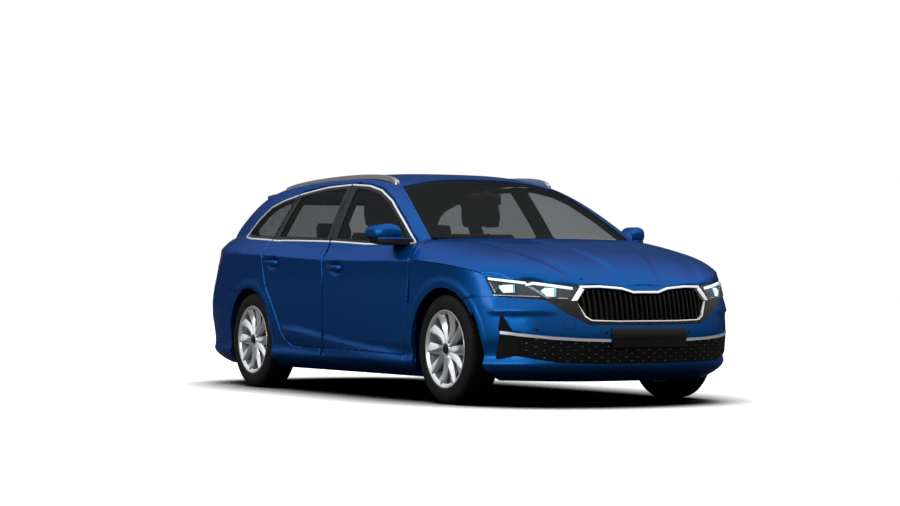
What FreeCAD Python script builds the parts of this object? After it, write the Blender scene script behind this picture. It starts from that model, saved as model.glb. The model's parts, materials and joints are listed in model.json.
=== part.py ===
"""Station wagon, a five-door estate car with a front engine, standing on its four wheels.

Millimetres. +X points forward, +Y to the car's left, +Z up. The origin is on the ground, under the
centre of the car. The outer skin is three smooth surfaces: the sides with both bumpers, the deck
that makes the bonnet and the band under the windows, and the glasshouse. Every panel is cut out of
the wall between that skin and the same surfaces set further in.
"""
import FreeCAD, Part
import Sketcher
import math
import os

Vector = FreeCAD.Vector
doc = FreeCAD.newDocument("station_wagon")

# Driving dimensions, one cell each
SIZES = [
    ("overall_length", 4689.0),
    ("body_width", 1829.0),
    ("ground_clearance", 150.0),
    ("front_overhang", 880.0),
    ("wheelbase", 2686.0),
    ("track", 1543.0),
    ("tyre_radius", 328.0),
    ("tyre_width", 205.0),
    ("rim_flange_radius", 233.0),
    ("bead_radius", 216.0),
    ("front_arch_radius", 365.0),
    ("rear_arch_radius", 352.0),
    ("arch_lip_width", 52.0),
    ("bonnet_height", 1003.0),
    ("bonnet_thickness", 16.0),
    ("roof_height", 1452.0),
    ("panel_gap", 5.0),
    ("door_end_gap", 8.0),
    ("frame_end_gap", 11.0),
    ("seam_gap", 2.0),
    ("fit_gap", 0.3),
    ("door_thickness", 62.0),
    ("frame_thickness", 18.0),
    ("wall_thickness", 96.0),
    ("pillar_thickness", 50.0),
    ("pillar_clearance", 9.0),
    ("skin_thickness", 18.0),
    ("floor_thickness", 45.0),
    ("glass_thickness", 5.0),
    ("glass_recess", 3.0),
    ("front_door_hinge_x", 1060.0),
    ("rear_door_hinge_x", -104.0),
    ("door_hinge_depth", 22.0),
    ("centre_shut_x", -68.0),
    ("sill_shut_height", 286.0),
    ("bonnet_hinge_x", 1075.0),
    ("bonnet_hinge_height", 965.0),
    ("tailgate_hinge_x", -1680.0),
    ("tailgate_hinge_depth", 24.0),
    ("tailgate_lip_radius", 48.0),
    ("kingpin_inset", 52.0),
    ("disc_radius", 144.0),
    ("disc_thickness", 24.0),
    ("axle_radius", 15.0),
    ("hinge_pin_radius", 7.0),
    ("pin_clearance", 0.3),
    ("rail_radius", 13.0),
    ("steering_wheel_radius", 183.0),
]

sheet = doc.addObject("Spreadsheet::Sheet", "sizes")
for row, (alias, value) in enumerate(SIZES, 1):
    sheet.set(f"A{row}", alias.replace("_", " "))
    sheet.set(f"B{row}", str(value))
    sheet.setAlias(f"B{row}", alias)
doc.recompute()


def size(alias):
    """The value of one driving dimension."""
    return float(sheet.get(alias))


nose = size("overall_length") / 2
tail = -nose
half_width = size("body_width") / 2
front_axle = nose - size("front_overhang")
rear_axle = front_axle - size("wheelbase")
wheel_y = size("track") / 2
wheel_z = size("tyre_radius")
floor_z = size("ground_clearance")
gap = size("panel_gap")
fit = size("fit_gap")
seam = size("seam_gap")
pin = size("hinge_pin_radius")
clearance = size("pin_clearance")

parts = {}


def keep(name, shape):
    """Stores a finished solid or set of solids as one document object with its label."""
    item = doc.addObject("Part::Feature", name)
    item.Shape = shape
    item.Label = name
    parts[name] = item
    return item


# Document objects that follow the sheet: a value is a number or a sum of cells
FRONT_AXLE = "sizes.overall_length / 2 - sizes.front_overhang"
REAR_AXLE = "sizes.overall_length / 2 - sizes.front_overhang - sizes.wheelbase"
WHEEL_Z = "sizes.tyre_radius"
KINGPIN_Y = "sizes.track / 2 - sizes.kingpin_inset"


def bind(item, **values):
    """Binds properties of an object to cells; at is its place, as three values."""
    for name, value in values.items():
        if name == "at":
            for axis, part in zip("xyz", value):
                item.setExpression(f"Placement.Base.{axis}", str(part))
        else:
            item.setExpression(name, str(value))
    return item


def box_between(name, x0, x1, y0, y1, z0, z1):
    """A box between six planes."""
    item = doc.addObject("Part::Box", name)
    lengths = [f"({high}) - ({low})" for low, high in ((x0, x1), (y0, y1), (z0, z1))]
    return bind(item, Length=lengths[0], Width=lengths[1], Height=lengths[2], at=(x0, y0, z0))


def rod(name, radius, length, at, way=(0, 0, 1)):
    """A cylinder from a place along a direction."""
    item = doc.addObject("Part::Cylinder", name)
    item.Placement = FreeCAD.Placement(Vector(), FreeCAD.Rotation(Vector(0, 0, 1), Vector(*way)))
    return bind(item, Radius=radius, Height=length, at=at)


def joined(name, items):
    """Several objects as one."""
    item = doc.addObject("Part::MultiFuse", name)
    item.Shapes = items
    return item


def flipped(name, source):
    """The same object on the other side of the car."""
    item = doc.addObject("Part::Mirroring", name)
    item.Source = source
    item.Normal = Vector(0, 1, 0)
    return item


def keep_object(name, item):
    """Marks a bound object as a finished node."""
    item.Label = name
    parts[name] = item
    return item


def amount(text):
    """The value of a sum of cells and numbers, such as sizes.track / 2 - 52."""
    total, term, sign, divide = 0.0, 0.0, 1.0, False
    for word in str(text).split():
        if word in ("+", "-"):
            total += term
            sign = 1.0 if word == "+" else -1.0
        elif word == "/":
            divide = True
        else:
            value = size(word.split(".", 1)[1]) if word.startswith("sizes.") else float(word)
            term = term / value if divide else sign * value
            divide = False
    return total + term


def outline_sketch(body, name, plane, corners, offset=0.0):
    """A closed outline of straight lines on one of a body's planes, every corner bound to cells."""
    sketch = body.newObject("Sketcher::SketchObject", name)
    support = [feature for feature in body.Origin.OriginFeatures if feature.Role == plane][0]
    sketch.AttachmentSupport = (support, [""])
    sketch.MapMode = "FlatFace"
    sketch.AttachmentOffset = FreeCAD.Placement(Vector(0, 0, offset), FreeCAD.Rotation())
    places = [Vector(amount(u), amount(v), 0) for u, v in corners]
    count = len(places)
    lines = [Part.LineSegment(places[i], places[(i + 1) % count]) for i in range(count)]
    sketch.addGeometry(lines, False)
    for i in range(count):
        sketch.addConstraint(Sketcher.Constraint("Coincident", i, 2, (i + 1) % count, 1))
    for i, (u, v) in enumerate(corners):
        for kind, value, number in (("DistanceX", u, places[i].x), ("DistanceY", v, places[i].y)):
            if abs(number) < 1e-9:
                line = -2 if kind == "DistanceX" else -1
                sketch.addConstraint(Sketcher.Constraint("PointOnObject", i, 1, line))
                continue
            spot = sketch.addConstraint(Sketcher.Constraint(kind, -1, 1, i, 1, number))
            sketch.renameConstraint(spot, f"{kind}_{i}")
            if isinstance(value, str):
                sketch.setExpression(f"Constraints.{kind}_{i}", value)
    return sketch


def turned_feature(body, name, sketch):
    """A ring turned about the wheel's axle, which is the sketch's level axis."""
    feature = body.newObject("PartDesign::Revolution", name)
    feature.Profile = sketch
    feature.ReferenceAxis = (sketch, ["H_Axis"])
    feature.Angle = 360
    body.Tip = feature
    return feature


# Curves and surfaces


def knot_vector(count, degree):
    """Clamped uniform knots and multiplicities for that many poles."""
    spans = count - degree
    knots = [float(k) for k in range(spans + 1)]
    mults = [degree + 1] + [1] * (spans - 1) + [degree + 1]
    return knots, mults


def smooth_face(grid, degree=3):
    """A smooth surface that follows a grid of control points, as a face."""
    surface = Part.BSplineSurface()
    u_knots, u_mults = knot_vector(len(grid), degree)
    v_knots, v_mults = knot_vector(len(grid[0]), degree)
    surface.buildFromPolesMultsKnots(
        grid, u_mults, v_mults, u_knots, v_knots, False, False, degree, degree
    )
    return surface.toShape()


def smooth_edge(points, degree=3):
    """A smooth curve that follows its control points, as an edge."""
    curve = Part.BSplineCurve()
    knots, mults = knot_vector(len(points), degree)
    curve.buildFromPolesMultsKnots(points, mults, knots, False, degree)
    return curve.toShape()


def blend_table(table, x):
    """Straight-line interpolation in a list of (x, value) pairs that run upwards in x."""
    if x <= table[0][0]:
        return table[0][1]
    for (x0, v0), (x1, v1) in zip(table, table[1:]):
        if x <= x1:
            return v0 + (v1 - v0) * (x - x0) / (x1 - x0)
    return table[-1][1]


def closed_solid(faces):
    """One solid from faces whose edges meet."""
    shell = Part.makeShell(faces)
    shell.sewShape()
    solid = Part.makeSolid(Part.makeShell(shell.Faces))
    if solid.Volume < 0:
        solid.reverse()
    return solid


def rounded(points, radii):
    """A closed wire through corner points, each corner rounded by its radius."""
    edges = []
    count = len(points)
    joins = []
    for i, corner in enumerate(points):
        before = points[i - 1]
        after = points[(i + 1) % count]
        radius = radii[i] if isinstance(radii, (list, tuple)) else radii
        back = (before - corner).normalize()
        ahead = (after - corner).normalize()
        turn = back.getAngle(ahead)
        if radius <= 0 or turn > math.pi - 0.01:
            joins.append((corner, None, corner))
            continue
        reach = radius / math.tan(turn / 2)
        reach = min(reach, 0.45 * (before - corner).Length, 0.45 * (after - corner).Length)
        middle = (back + ahead).normalize()
        radius = reach * math.tan(turn / 2)
        depth = radius / math.sin(turn / 2) - radius
        joins.append((corner + back * reach, corner + middle * depth, corner + ahead * reach))
    for i, (start, mid, end) in enumerate(joins):
        if mid is not None:
            edges.append(Part.Arc(start, mid, end).toShape())
        nxt = joins[(i + 1) % count][0]
        if (nxt - end).Length > 0.01:
            edges.append(Part.LineSegment(end, nxt).toShape())
    return Part.Wire(edges)


def side_prism(outline, radii, y0, y1):
    """A prism through the car from a side-view outline of (x, z) corners."""
    wire = rounded([Vector(x, y0, z) for x, z in outline], radii)
    return Part.Face(wire).extrude(Vector(0, y1 - y0, 0))


def front_prism(outline, radii, x0, x1):
    """A prism along the car from a front-view outline of (y, z) corners."""
    wire = rounded([Vector(x0, y, z) for y, z in outline], radii)
    return Part.Face(wire).extrude(Vector(x1 - x0, 0, 0))


def plan_prism(outline, radii, z0, z1):
    """A vertical prism from a plan-view outline of (x, y) corners."""
    wire = rounded([Vector(x, y, z0) for x, y in outline], radii)
    return Part.Face(wire).extrude(Vector(0, 0, z1 - z0))


def block(x0, x1, y0, y1, z0, z1):
    return Part.makeBox(x1 - x0, y1 - y0, z1 - z0, Vector(x0, y0, z0))


def mirrored(shape):
    return shape.mirror(Vector(0, 0, 0), Vector(0, 1, 0))


def turned(radius, length, x, y, z, axis=Vector(0, 1, 0)):
    """A cylinder centred on a point, lying along an axis."""
    start = Vector(x, y, z) - axis * (length / 2)
    return Part.makeCylinder(radius, length, start, axis)


def biggest(shape):
    """The largest solid of a cut, without crumbs."""
    return max(shape.Solids, key=lambda s: s.Volume)


def solids_over(shape, volume):
    """The solids of a cut that are more than crumbs, as one shape."""
    kept = [s for s in shape.Solids if s.Volume > volume]
    return kept[0] if len(kept) == 1 else Part.makeCompound(kept)


# The sides, from sill to shoulder, with both bumpers.
# Each row: set-in from the half width, set-back from the nose and from the tail, height at the tail,
# rear flank, front flank, front corner and nose, and how full the front and rear corners are.
SIDE_ROWS = [
    (112, 120, 165, 0, 0, 0, 0, 0, 0.99, 1.00),
    (48, 58, 82, 40, 40, 40, 40, 40, 1.00, 1.00),
    (22, 20, 32, 86, 86, 80, 84, 84, 1.00, 1.00),
    (18, 15, 26, 112, 108, 100, 110, 112, 1.00, 1.00),
    (37, 24, 26, 155, 150, 138, 150, 155, 1.00, 1.00),
    (20, 6, 6, 290, 300, 182, 238, 250, 1.00, 1.00),
    (13, 0, 1, 330, 322, 204, 266, 275, 1.00, 1.00),
    (9, 20, 0, 470, 470, 450, 440, 430, 1.00, 1.00),
    (12, 46, 45, 610, 620, 610, 535, 525, 0.99, 0.97),
    (4, 76, 70, 730, 730, 685, 590, 575, 0.98, 0.94),
    (0, 105, 85, 810, 795, 745, 680, 660, 0.96, 0.90),
    (0, 125, 95, 1000, 1000, 1000, 1000, 1000, 0.94, 0.88),
]
ROW_HEIGHT_COLUMNS = (0, 4, 9, 12, 15)


def side_grid(inset):
    """Control points of the right-hand side, from the tail's centre round to the nose's centre."""
    grid = []
    for drop, set_back, set_in, z0, z4, z9, z12, z15, front_full, rear_full in SIDE_ROWS:
        width = half_width - drop - inset
        front = nose - set_back - inset
        rear = tail + set_in + inset
        plan = [
            (rear, 0.0),
            (rear, 0.34 * rear_full),
            (rear + 30, 0.61 * rear_full),
            (rear + 125, 0.795 * rear_full),
            (rear + 330, 0.925 * (1 + rear_full) / 2),
            (rear_axle - 330, 0.99),
            (rear_axle + 250, 1.0),
            (rear_axle + 970, 1.002),
            (front_axle - 965, 1.002),
            (front_axle - 300, 0.997),
            (front_axle + 130, 0.985),
            (front - 430, 0.94 * (1 + front_full) / 2),
            (front - 195, 0.785 * front_full),
            (front - 62, 0.57 * front_full),
            (front, 0.30 * front_full),
            (front, 0.0),
        ]
        heights = list(zip(ROW_HEIGHT_COLUMNS, (z0, z4, z9, z12, z15)))
        sink = inset if z0 == 0 else 0
        grid.append(
            [
                Vector(x, -share * width, floor_z + blend_table(heights, column) - sink)
                for column, (x, share) in enumerate(plan)
            ]
        )
    return grid


def side_solid(inset):
    """The body below the shoulder, carried straight up past it."""
    right = smooth_face(side_grid(inset))
    left = mirrored(right)
    bottom_row = side_grid(inset)[0]
    top_row = side_grid(inset)[-1]

    def cap(points):
        edge = smooth_edge(points)
        return Part.Face(Part.Wire([edge, mirrored(edge)]))

    return closed_solid([right, left, cap(bottom_row), cap(top_row)])


# The deck: bonnet, cowl and the band between shoulder and windows.
# Each station: x from the front axle, half width at the shoulder, centre height and shoulder height
# over the bonnet height, and how much the section is a bonnet's (0) or a window band's (1).
DECK_STATIONS = [
    (955, 330, -440, -470, 0.0),
    (838, 520, -318, -352, 0.0),
    (740, 640, -228, -318, 0.0),
    (590, 765, -142, -282, 0.0),
    (390, 868, -80, -237, 0.0),
    (135, 905, -38, -188, 0.0),
    (-115, 913, -14, -163, 0.45),
    (-365, 914, 2, -151, 0.9),
    (-765, 914, 4, -144, 1.0),
    (-1465, 914, 27, -136, 1.0),
    (-2365, 914, 57, -90, 1.0),
    (-3000, 908, 72, -62, 1.0),
    (-3364, 822, 60, -62, 1.0),
    (-3600, 715, 10, -58, 1.0),
    (-3884, 560, -60, -55, 1.0),
]
DECK_ROWS = [
    (0.0, 1.0, 1.0),
    (0.33, 0.985, 1.0),
    (0.60, 0.88, 1.0),
    (0.80, 0.70, 0.98),
    (0.915, 0.44, 0.82),
    (1.0, 0.0, 0.0),
    (1.11, -0.75, -1.15),
]


def deck_grid(drop):
    """Control points across the deck, right to left at each station."""
    grid = []
    for along, width, centre, shoulder, band in DECK_STATIONS:
        width *= half_width / 914.5
        right = []
        for share, bonnet, window in DECK_ROWS:
            level = bonnet + (window - bonnet) * band
            z = size("bonnet_height") + shoulder + (centre - shoulder) * level - drop
            right.append(Vector(front_axle + along, -share * width, z))
        left = [Vector(p.x, -p.y, p.z) for p in right[1:]]
        grid.append(list(reversed(right)) + left)
    return grid


def below_deck(drop):
    """Everything under the deck surface, lowered by drop."""
    return smooth_face(deck_grid(drop)).extrude(Vector(0, 0, -1500))


# The glasshouse: windscreen, roof, side windows and rear window in one surface.
# Each station: edge x and z, centre x and z, x and lower z of the foot of the side.
HOUSE_FOOT = 870.0
HOUSE_STATIONS = [
    (1265, 870, 1420, 870, 1240),
    (1090, 955, 1215, 985, 1075),
    (800, 1130, 930, 1133, 905),
    (540, 1268, 665, 1286, 700),
    (290, 1362, 395, 1408, 450),
    (-60, 1402, 0, 1452, 50),
    (-600, 1404, -600, 1457, -500),
    (-1150, 1378, -1180, 1446, -1000),
    (-1530, 1318, -1700, 1424, -1420),
    (-1770, 1180, -1990, 1340, -1720),
    (-1990, 1030, -2170, 1100, -1960),
    (-2120, 870, -2275, 870, -2110),
]
WINDOW_FOOT_Y = [
    (-2150, 600),
    (-1980, 665),
    (-1750, 722),
    (-1450, 782),
    (-1000, 824),
    (-500, 843),
    (50, 849),
    (450, 847),
    (700, 839),
    (900, 825),
    (1080, 802),
    (1260, 770),
]


def belt_height(x):
    """Height of the foot of the side windows at x."""
    return 958 + 94 * (1050 - x) / 2550


def window_y(x, z):
    """Half width of the side windows' surface at a place seen from the side."""
    rise = z - belt_height(x)
    foot = blend_table(WINDOW_FOOT_Y, x)
    if rise < 0:
        return foot - 0.4 * rise
    return foot - 0.48 * rise - 0.00022 * rise * rise


def profile_normals(points):
    """Unit normals of a line of (x, z) points, on the upper side of a line that runs to the rear."""
    normals = []
    for i in range(len(points)):
        x0, z0 = points[max(i - 1, 0)]
        x1, z1 = points[min(i + 1, len(points) - 1)]
        length = math.hypot(x1 - x0, z1 - z0)
        normals.append(((z1 - z0) / length, (x0 - x1) / length))
    return normals


def house_grid(inset):
    """Control points of the glasshouse, front to rear, and from the right foot over to the left."""
    grid = []
    lift = size("roof_height") - 1452.0
    last = len(HOUSE_STATIONS) - 1
    edge_normals = profile_normals([(row[0], row[1]) for row in HOUSE_STATIONS])
    centre_normals = profile_normals([(row[2], row[3]) for row in HOUSE_STATIONS])
    foot_z = HOUSE_FOOT - inset
    for i, (xe, ze, xc, zc, foot_x) in enumerate(HOUSE_STATIONS):
        if i in (0, last):
            back = inset if i == 0 else -inset
            edge_y = blend_table(WINDOW_FOOT_Y, xe) - inset
            right = [
                Vector(foot_x + (xe - foot_x) * part - back, -edge_y, foot_z)
                for part in (0, 0.25, 0.5, 0.75, 1)
            ]
            for share in (0.86, 0.55, 0.28):
                right.append(Vector(xc + (xe - xc) * share * share - back, -edge_y * share, foot_z))
            centre = Vector(xc - back, 0, foot_z)
        else:
            xe -= inset * edge_normals[i][0]
            ze += lift - inset * edge_normals[i][1]
            xc -= inset * centre_normals[i][0]
            zc += lift - inset * centre_normals[i][1]
            belt_z = min(belt_height(foot_x), foot_z + 0.55 * (ze - foot_z))
            mid_x, mid_z = (xe + foot_x) / 2, (ze + belt_z) / 2
            near_x, near_z = xe * 0.85 + mid_x * 0.15, ze * 0.82 + mid_z * 0.18
            right = [
                Vector(x, 1.12 * inset - window_y(x, z), z)
                for x, z in (
                    (foot_x, foot_z), (foot_x, belt_z), (mid_x, mid_z), (near_x, near_z), (xe, ze)
                )
            ]
            edge_y = -right[-1].y
            for share in (0.86, 0.55, 0.28):
                bow = share * share
                right.append(
                    Vector(xc + (xe - xc) * bow, -edge_y * share, zc + (ze - zc) * bow * bow)
                )
            centre = Vector(xc, 0, zc)
        left = [Vector(p.x, -p.y, p.z) for p in reversed(right)]
        grid.append(right + [centre] + left)
    return grid


def house_solid(inset):
    """The glasshouse as a solid standing on a level foot."""
    grid = house_grid(inset)
    skin = smooth_face(grid)
    feet = [
        smooth_edge(grid[0]),
        smooth_edge([row[-1] for row in grid]),
        smooth_edge(grid[-1]),
        smooth_edge([row[0] for row in grid]),
    ]
    return closed_solid([skin, Part.Face(Part.Wire(Part.__sortEdges__(feet)))])



hulls = {}


def hull_solid(side_in, deck_in):
    """The body below the windows, set in from the sides and lowered from the deck."""
    if (side_in, deck_in) not in hulls:
        hulls[side_in, deck_in] = side_solid(side_in).common(below_deck(deck_in))
    return hulls[side_in, deck_in]


def inner_pair(side_in, deck_in, house_in):
    """Body and glasshouse, each set in by its own thickness, to be cut away one after the other."""
    return hull_solid(side_in, deck_in), house_solid(house_in)


def hollow(shape, pair):
    """What is left of a shape outside both set-in solids."""
    return shape.cut(pair[0]).cut(pair[1])


def about_upright(profile, x, y):
    """A solid of revolution about an upright axis from (radius, z) corners."""
    corners = [Vector(x, y, profile[0][1])]
    corners += [Vector(x + r, y, z) for r, z in profile]
    corners.append(Vector(x, y, profile[-1][1]))
    wire = Part.makePolygon(corners + [corners[0]])
    return Part.Face(wire).revolve(Vector(x, y, 0), Vector(0, 0, 1), 360)


def about_crosswise(profile, x, z):
    """A solid of revolution about a crosswise axis from (radius, y) corners of the left half."""
    half = [Vector(x + r, y, z) for r, y in profile]
    if profile[0][0] > 1:
        half.append(Vector(x, profile[-1][1], z))
    other = [Vector(p.x, -p.y, p.z) for p in reversed(half)]
    tidy = []
    for corner in half + other:
        if not tidy or (corner - tidy[-1]).Length > 0.01:
            tidy.append(corner)
    if (tidy[-1] - tidy[0]).Length > 0.01:
        tidy.append(tidy[0])
    return Part.Face(Part.makePolygon(tidy)).revolve(Vector(x, 0, z), Vector(0, 1, 0), 360)


def widened(profile, amount):
    return [(r + amount, other) for r, other in profile]


def grown(outline, amount):
    """An outline of flat corners moved outwards by an amount, corners kept sharp."""
    count = len(outline)
    area = sum(
        outline[i - 1][0] * outline[i][1] - outline[i][0] * outline[i - 1][1] for i in range(count)
    )
    side = amount if area > 0 else -amount
    moved = []
    for i in range(count):
        before, here, after = outline[i - 1], outline[i], outline[(i + 1) % count]
        ax, ay = here[0] - before[0], here[1] - before[1]
        bx, by = after[0] - here[0], after[1] - here[1]
        la, lb = math.hypot(ax, ay), math.hypot(bx, by)
        nax, nay = ay / la, -ax / la
        nbx, nby = by / lb, -bx / lb
        share = side / (1 + nax * nbx + nay * nby)
        moved.append((here[0] + (nax + nbx) * share, here[1] + (nay + nby) * share))
    return moved


RIGHT = -1600.0
MID = -1.0

# Master solids
outer = hull_solid(0, 0).fuse(house_solid(0))
right_half = block(-2600, 2600, RIGHT, 0, 0, 1700)
outer_right = outer.common(right_half)
frame = size("frame_thickness")
skin_in = inner_pair(26, 26, frame)
post_in = inner_pair(26 + size("pillar_clearance"), 26 + size("pillar_clearance"), frame + 9)
cabin = inner_pair(size("wall_thickness"), 60, size("pillar_thickness"))
door_in = inner_pair(size("wall_thickness") - 6, 54, size("pillar_thickness") - 4)
thin = size("skin_thickness")
thin_hull = hull_solid(thin, thin)
bonnet_hull = hull_solid(thin, size("bonnet_thickness"))
bumper_hull = hull_solid(thin + 4, thin + 4)
inside_bumper = hull_solid(thin + 4 + fit, thin + 4 + fit)
door_skin_layer = hollow(outer_right, skin_in)
door_deep_layer = hollow(outer_right, door_in)

# Wheel wells
def arch_prism(axle, radius, y0, y1):
    """An arch over a wheel, open downwards, as a prism across the car."""
    low_rear, rear = Vector(axle - radius, y0, -20), Vector(axle - radius, y0, wheel_z)
    front, low_front = Vector(axle + radius, y0, wheel_z), Vector(axle + radius, y0, -20)
    edges = [
        Part.LineSegment(low_rear, rear).toShape(),
        Part.Arc(rear, Vector(axle, y0, wheel_z + radius), front).toShape(),
        Part.LineSegment(front, low_front).toShape(),
        Part.LineSegment(low_front, low_rear).toShape(),
    ]
    return Part.Face(Part.Wire(edges)).extrude(Vector(0, y1 - y0, 0))


lip_y = half_width - size("arch_lip_width")
front_arch = size("front_arch_radius")
rear_arch = size("rear_arch_radius")
front_well = arch_prism(front_axle, front_arch, -1100, -700).fuse(arch_prism(front_axle, front_arch + 20, -lip_y, -470))
rear_well = arch_prism(rear_axle, rear_arch, -1100, -640)
both_front_wells = front_well.fuse(mirrored(front_well))
both_rear_wells = rear_well.fuse(mirrored(rear_well))

# Door outlines in side view, and the surfaces of revolution at their ends
front_hinge_x = size("front_door_hinge_x")
rear_hinge_x = size("rear_door_hinge_x")
hinge_y = -(half_width - size("door_hinge_depth"))

front_skin = [
    (985, 282), (1032, 490), (1089, 859), (1050, 946), (1022, 965), (774, 1114), (511, 1250),
    (304, 1323), (113, 1359), (-143, 1376), (-300, 1378), (-300, 303),
]
front_deep = [
    (976, 303), (1014, 490), (1026, 650), (1034, 880), (1008, 936), (982, 966), (757, 1099),
    (500, 1235), (299, 1308), (111, 1344), (-120, 1359), (-50, 985), (-14, 900), (-14, 322),
]
rear_skin = [
    (-20, 298), (-20, 985), (-40, 1378), (-143, 1376), (-491, 1372), (-842, 1342), (-882, 1336),
    (-907, 1250), (-952, 1100), (-977, 1010), (-973, 930), (-974, 828), (-937, 705), (-848, 603),
    (-772, 507), (-704, 405), (-639, 346), (-552, 310), (-455, 304),
]
rear_deep = [
    (-128, 320), (-128, 960), (-165, 1150), (-188, 1356), (-491, 1356), (-830, 1326), (-862, 1318),
    (-888, 1240), (-930, 1100), (-952, 1010), (-950, 930), (-952, 832), (-915, 715), (-830, 617),
    (-752, 520), (-684, 420), (-622, 364), (-545, 332), (-450, 325),
]
front_glass_outline = [
    (925, 983), (755, 1084), (497, 1218), (293, 1291), (107, 1326), (-62, 1341), (6, 1010), (434, 988),
]
rear_glass_outline = [
    (-132, 1013), (-206, 1343), (-491, 1339), (-846, 1307), (-890, 1038), (-500, 1027),
]
quarter_glass_outline = [
    (-990, 1042), (-932, 1299), (-1104, 1273), (-1268, 1236), (-1390, 1183), (-1497, 1087),
    (-1440, 1062), (-1344, 1050),
]


def end_radius(x, y_out, hinge_x):
    """Distance in plan from a door's hinge to its far end on the skin."""
    return math.hypot(x - hinge_x, -hinge_y - y_out)


front_end = [
    (end_radius(-72, 892, front_hinge_x), 200),
    (end_radius(-72, 892, front_hinge_x), 900),
    (end_radius(-74, 846, front_hinge_x), 985),
    (end_radius(-111, 747, front_hinge_x), 1180),
    (end_radius(-147, 652, front_hinge_x), 1370),
    (end_radius(-160, 600, front_hinge_x), 1480),
]
rear_end = [
    (1400, 200),
    (1400, 1000),
    (end_radius(-977, 840, rear_hinge_x), 1000),
    (end_radius(-952, 787, rear_hinge_x), 1100),
    (end_radius(-907, 713, rear_hinge_x), 1250),
    (end_radius(-882, 664, rear_hinge_x), 1336),
    (end_radius(-870, 600, rear_hinge_x), 1480),
]
front_nose_sweep = [(26, 600), (30, 700), (36, 790), (41, 859), (36, 900), (30, 960)]
rear_nose_sweep = [(38, 250), (33, 420), (35, 600), (40, 840), (53, 940), (61, 985), (63, 1060)]

front_end_solid = about_upright(front_end, front_hinge_x, hinge_y)
front_end_grown = about_upright(widened(front_end, gap), front_hinge_x, hinge_y)
rear_end_solid = about_upright(rear_end, rear_hinge_x, hinge_y)
rear_end_grown = about_upright(widened(rear_end, gap), rear_hinge_x, hinge_y)
front_nose = about_upright(front_nose_sweep, front_hinge_x, hinge_y)
rear_nose = about_upright(rear_nose_sweep, rear_hinge_x, hinge_y)


def door(skin, deep, own_end, nose_cut, glass_outline):
    """A right-hand door: a skin layer to the full outline and a deeper layer set in from it."""
    outline = side_prism(skin, 6, RIGHT, -500).common(own_end)
    outline = outline.cut(nose_cut)
    skin_layer = door_skin_layer.common(outline)
    deep_layer = door_deep_layer.common(side_prism(deep, 12, RIGHT, -500))
    shape = biggest(skin_layer).fuse(biggest(deep_layer))
    hole = side_prism(grown(glass_outline, fit), 14, RIGHT, -400)
    return biggest(shape.cut(hole))


def pane(outline):
    """A side window cut from the glasshouse surface."""
    cutter = side_prism(outline, 14, RIGHT, -400)
    layer = house_in_glass.cut(house_in_glass_back)
    return biggest(layer.common(cutter))


house_in_glass = house_solid(size("glass_recess"))
house_in_glass_back = house_solid(size("glass_recess") + size("glass_thickness"))

door_front_right = door(front_skin, front_deep, front_end_solid, rear_nose, front_glass_outline)
door_rear_right = door(rear_skin, rear_deep, rear_end_solid, front_end_grown, rear_glass_outline)
nose_round = Part.makeCylinder(31, 400, Vector(rear_hinge_x, hinge_y, 100))
nose_corner = block(rear_hinge_x, -60, hinge_y, -820, 200, 470).cut(nose_round)
door_rear_right = biggest(door_rear_right.cut(nose_corner))
glass_front_right = pane(front_glass_outline)
glass_rear_right = pane(rear_glass_outline)
quarter_right = pane(quarter_glass_outline)

# Openings that the doors leave in the body
front_opening = side_prism(grown(front_skin, gap), 9, RIGHT, -500).common(front_end_grown)
rear_opening = side_prism(grown(rear_skin, gap), 9, RIGHT, -500).common(rear_end_grown)
both_openings = front_opening.fuse(rear_opening)
skin_opening = both_openings.cut(post_in[0]).cut(post_in[1])
deep_opening_front = side_prism(grown(front_deep, size("frame_end_gap")), 14, RIGHT, -400)
deep_opening_rear = side_prism(grown(rear_deep, size("frame_end_gap")), 14, RIGHT, -400)

# Bonnet, with the surfaces of revolution about its hinge that part it from the nose
bonnet_x = size("bonnet_hinge_x")
bonnet_z = size("bonnet_hinge_height")


def skin_x(across, height):
    """Where a line along the car leaves the nose, at a distance from the middle and a height."""
    line = Part.makeLine(Vector(1500, -across, height), Vector(2500, -across, height))
    return max(vertex.X for vertex in line.common(outer).Vertexes)


bonnet_edge = [(0, 712), (160, 700), (410, 706), (570, 718), (740, 738), (850, 752)]
bonnet_front = [
    (math.hypot(skin_x(across, height) - bonnet_x, height - bonnet_z), float(across)) for across, height in bonnet_edge
]
bonnet_front.append((math.hypot(1850 - bonnet_x, 765 - bonnet_z), 1000.0))
bonnet_side = [
    (1040, 866), (1110, 862), (1346, 846), (1500, 833), (1624, 818), (1767, 794), (1915, 756), (2100, 640),
    (2420, 560), (2420, 1100), (1040, 1100),
]


def bonnet_tool(more):
    """Everything that belongs to the bonnet, grown by an amount at its front and sides."""
    turn = about_crosswise(widened(bonnet_front, more), bonnet_x, bonnet_z)
    sides_line = [(x, z - more) if z < 1000 else (x, z) for x, z in bonnet_side]
    above = side_prism(sides_line, 0, -1200, 1200)
    rear = 1114 - more
    back = [
        (rear, -1100), (rear, -760), (rear + 34, -640), (rear + 66, -400), (rear + 84, 0), (rear + 66, 400),
        (rear + 34, 640), (rear, 760), (rear, 1100), (2600, 1100), (2600, -1100),
    ]
    return turn.common(above).common(plan_prism(back, 0, 300, 1200))


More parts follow.
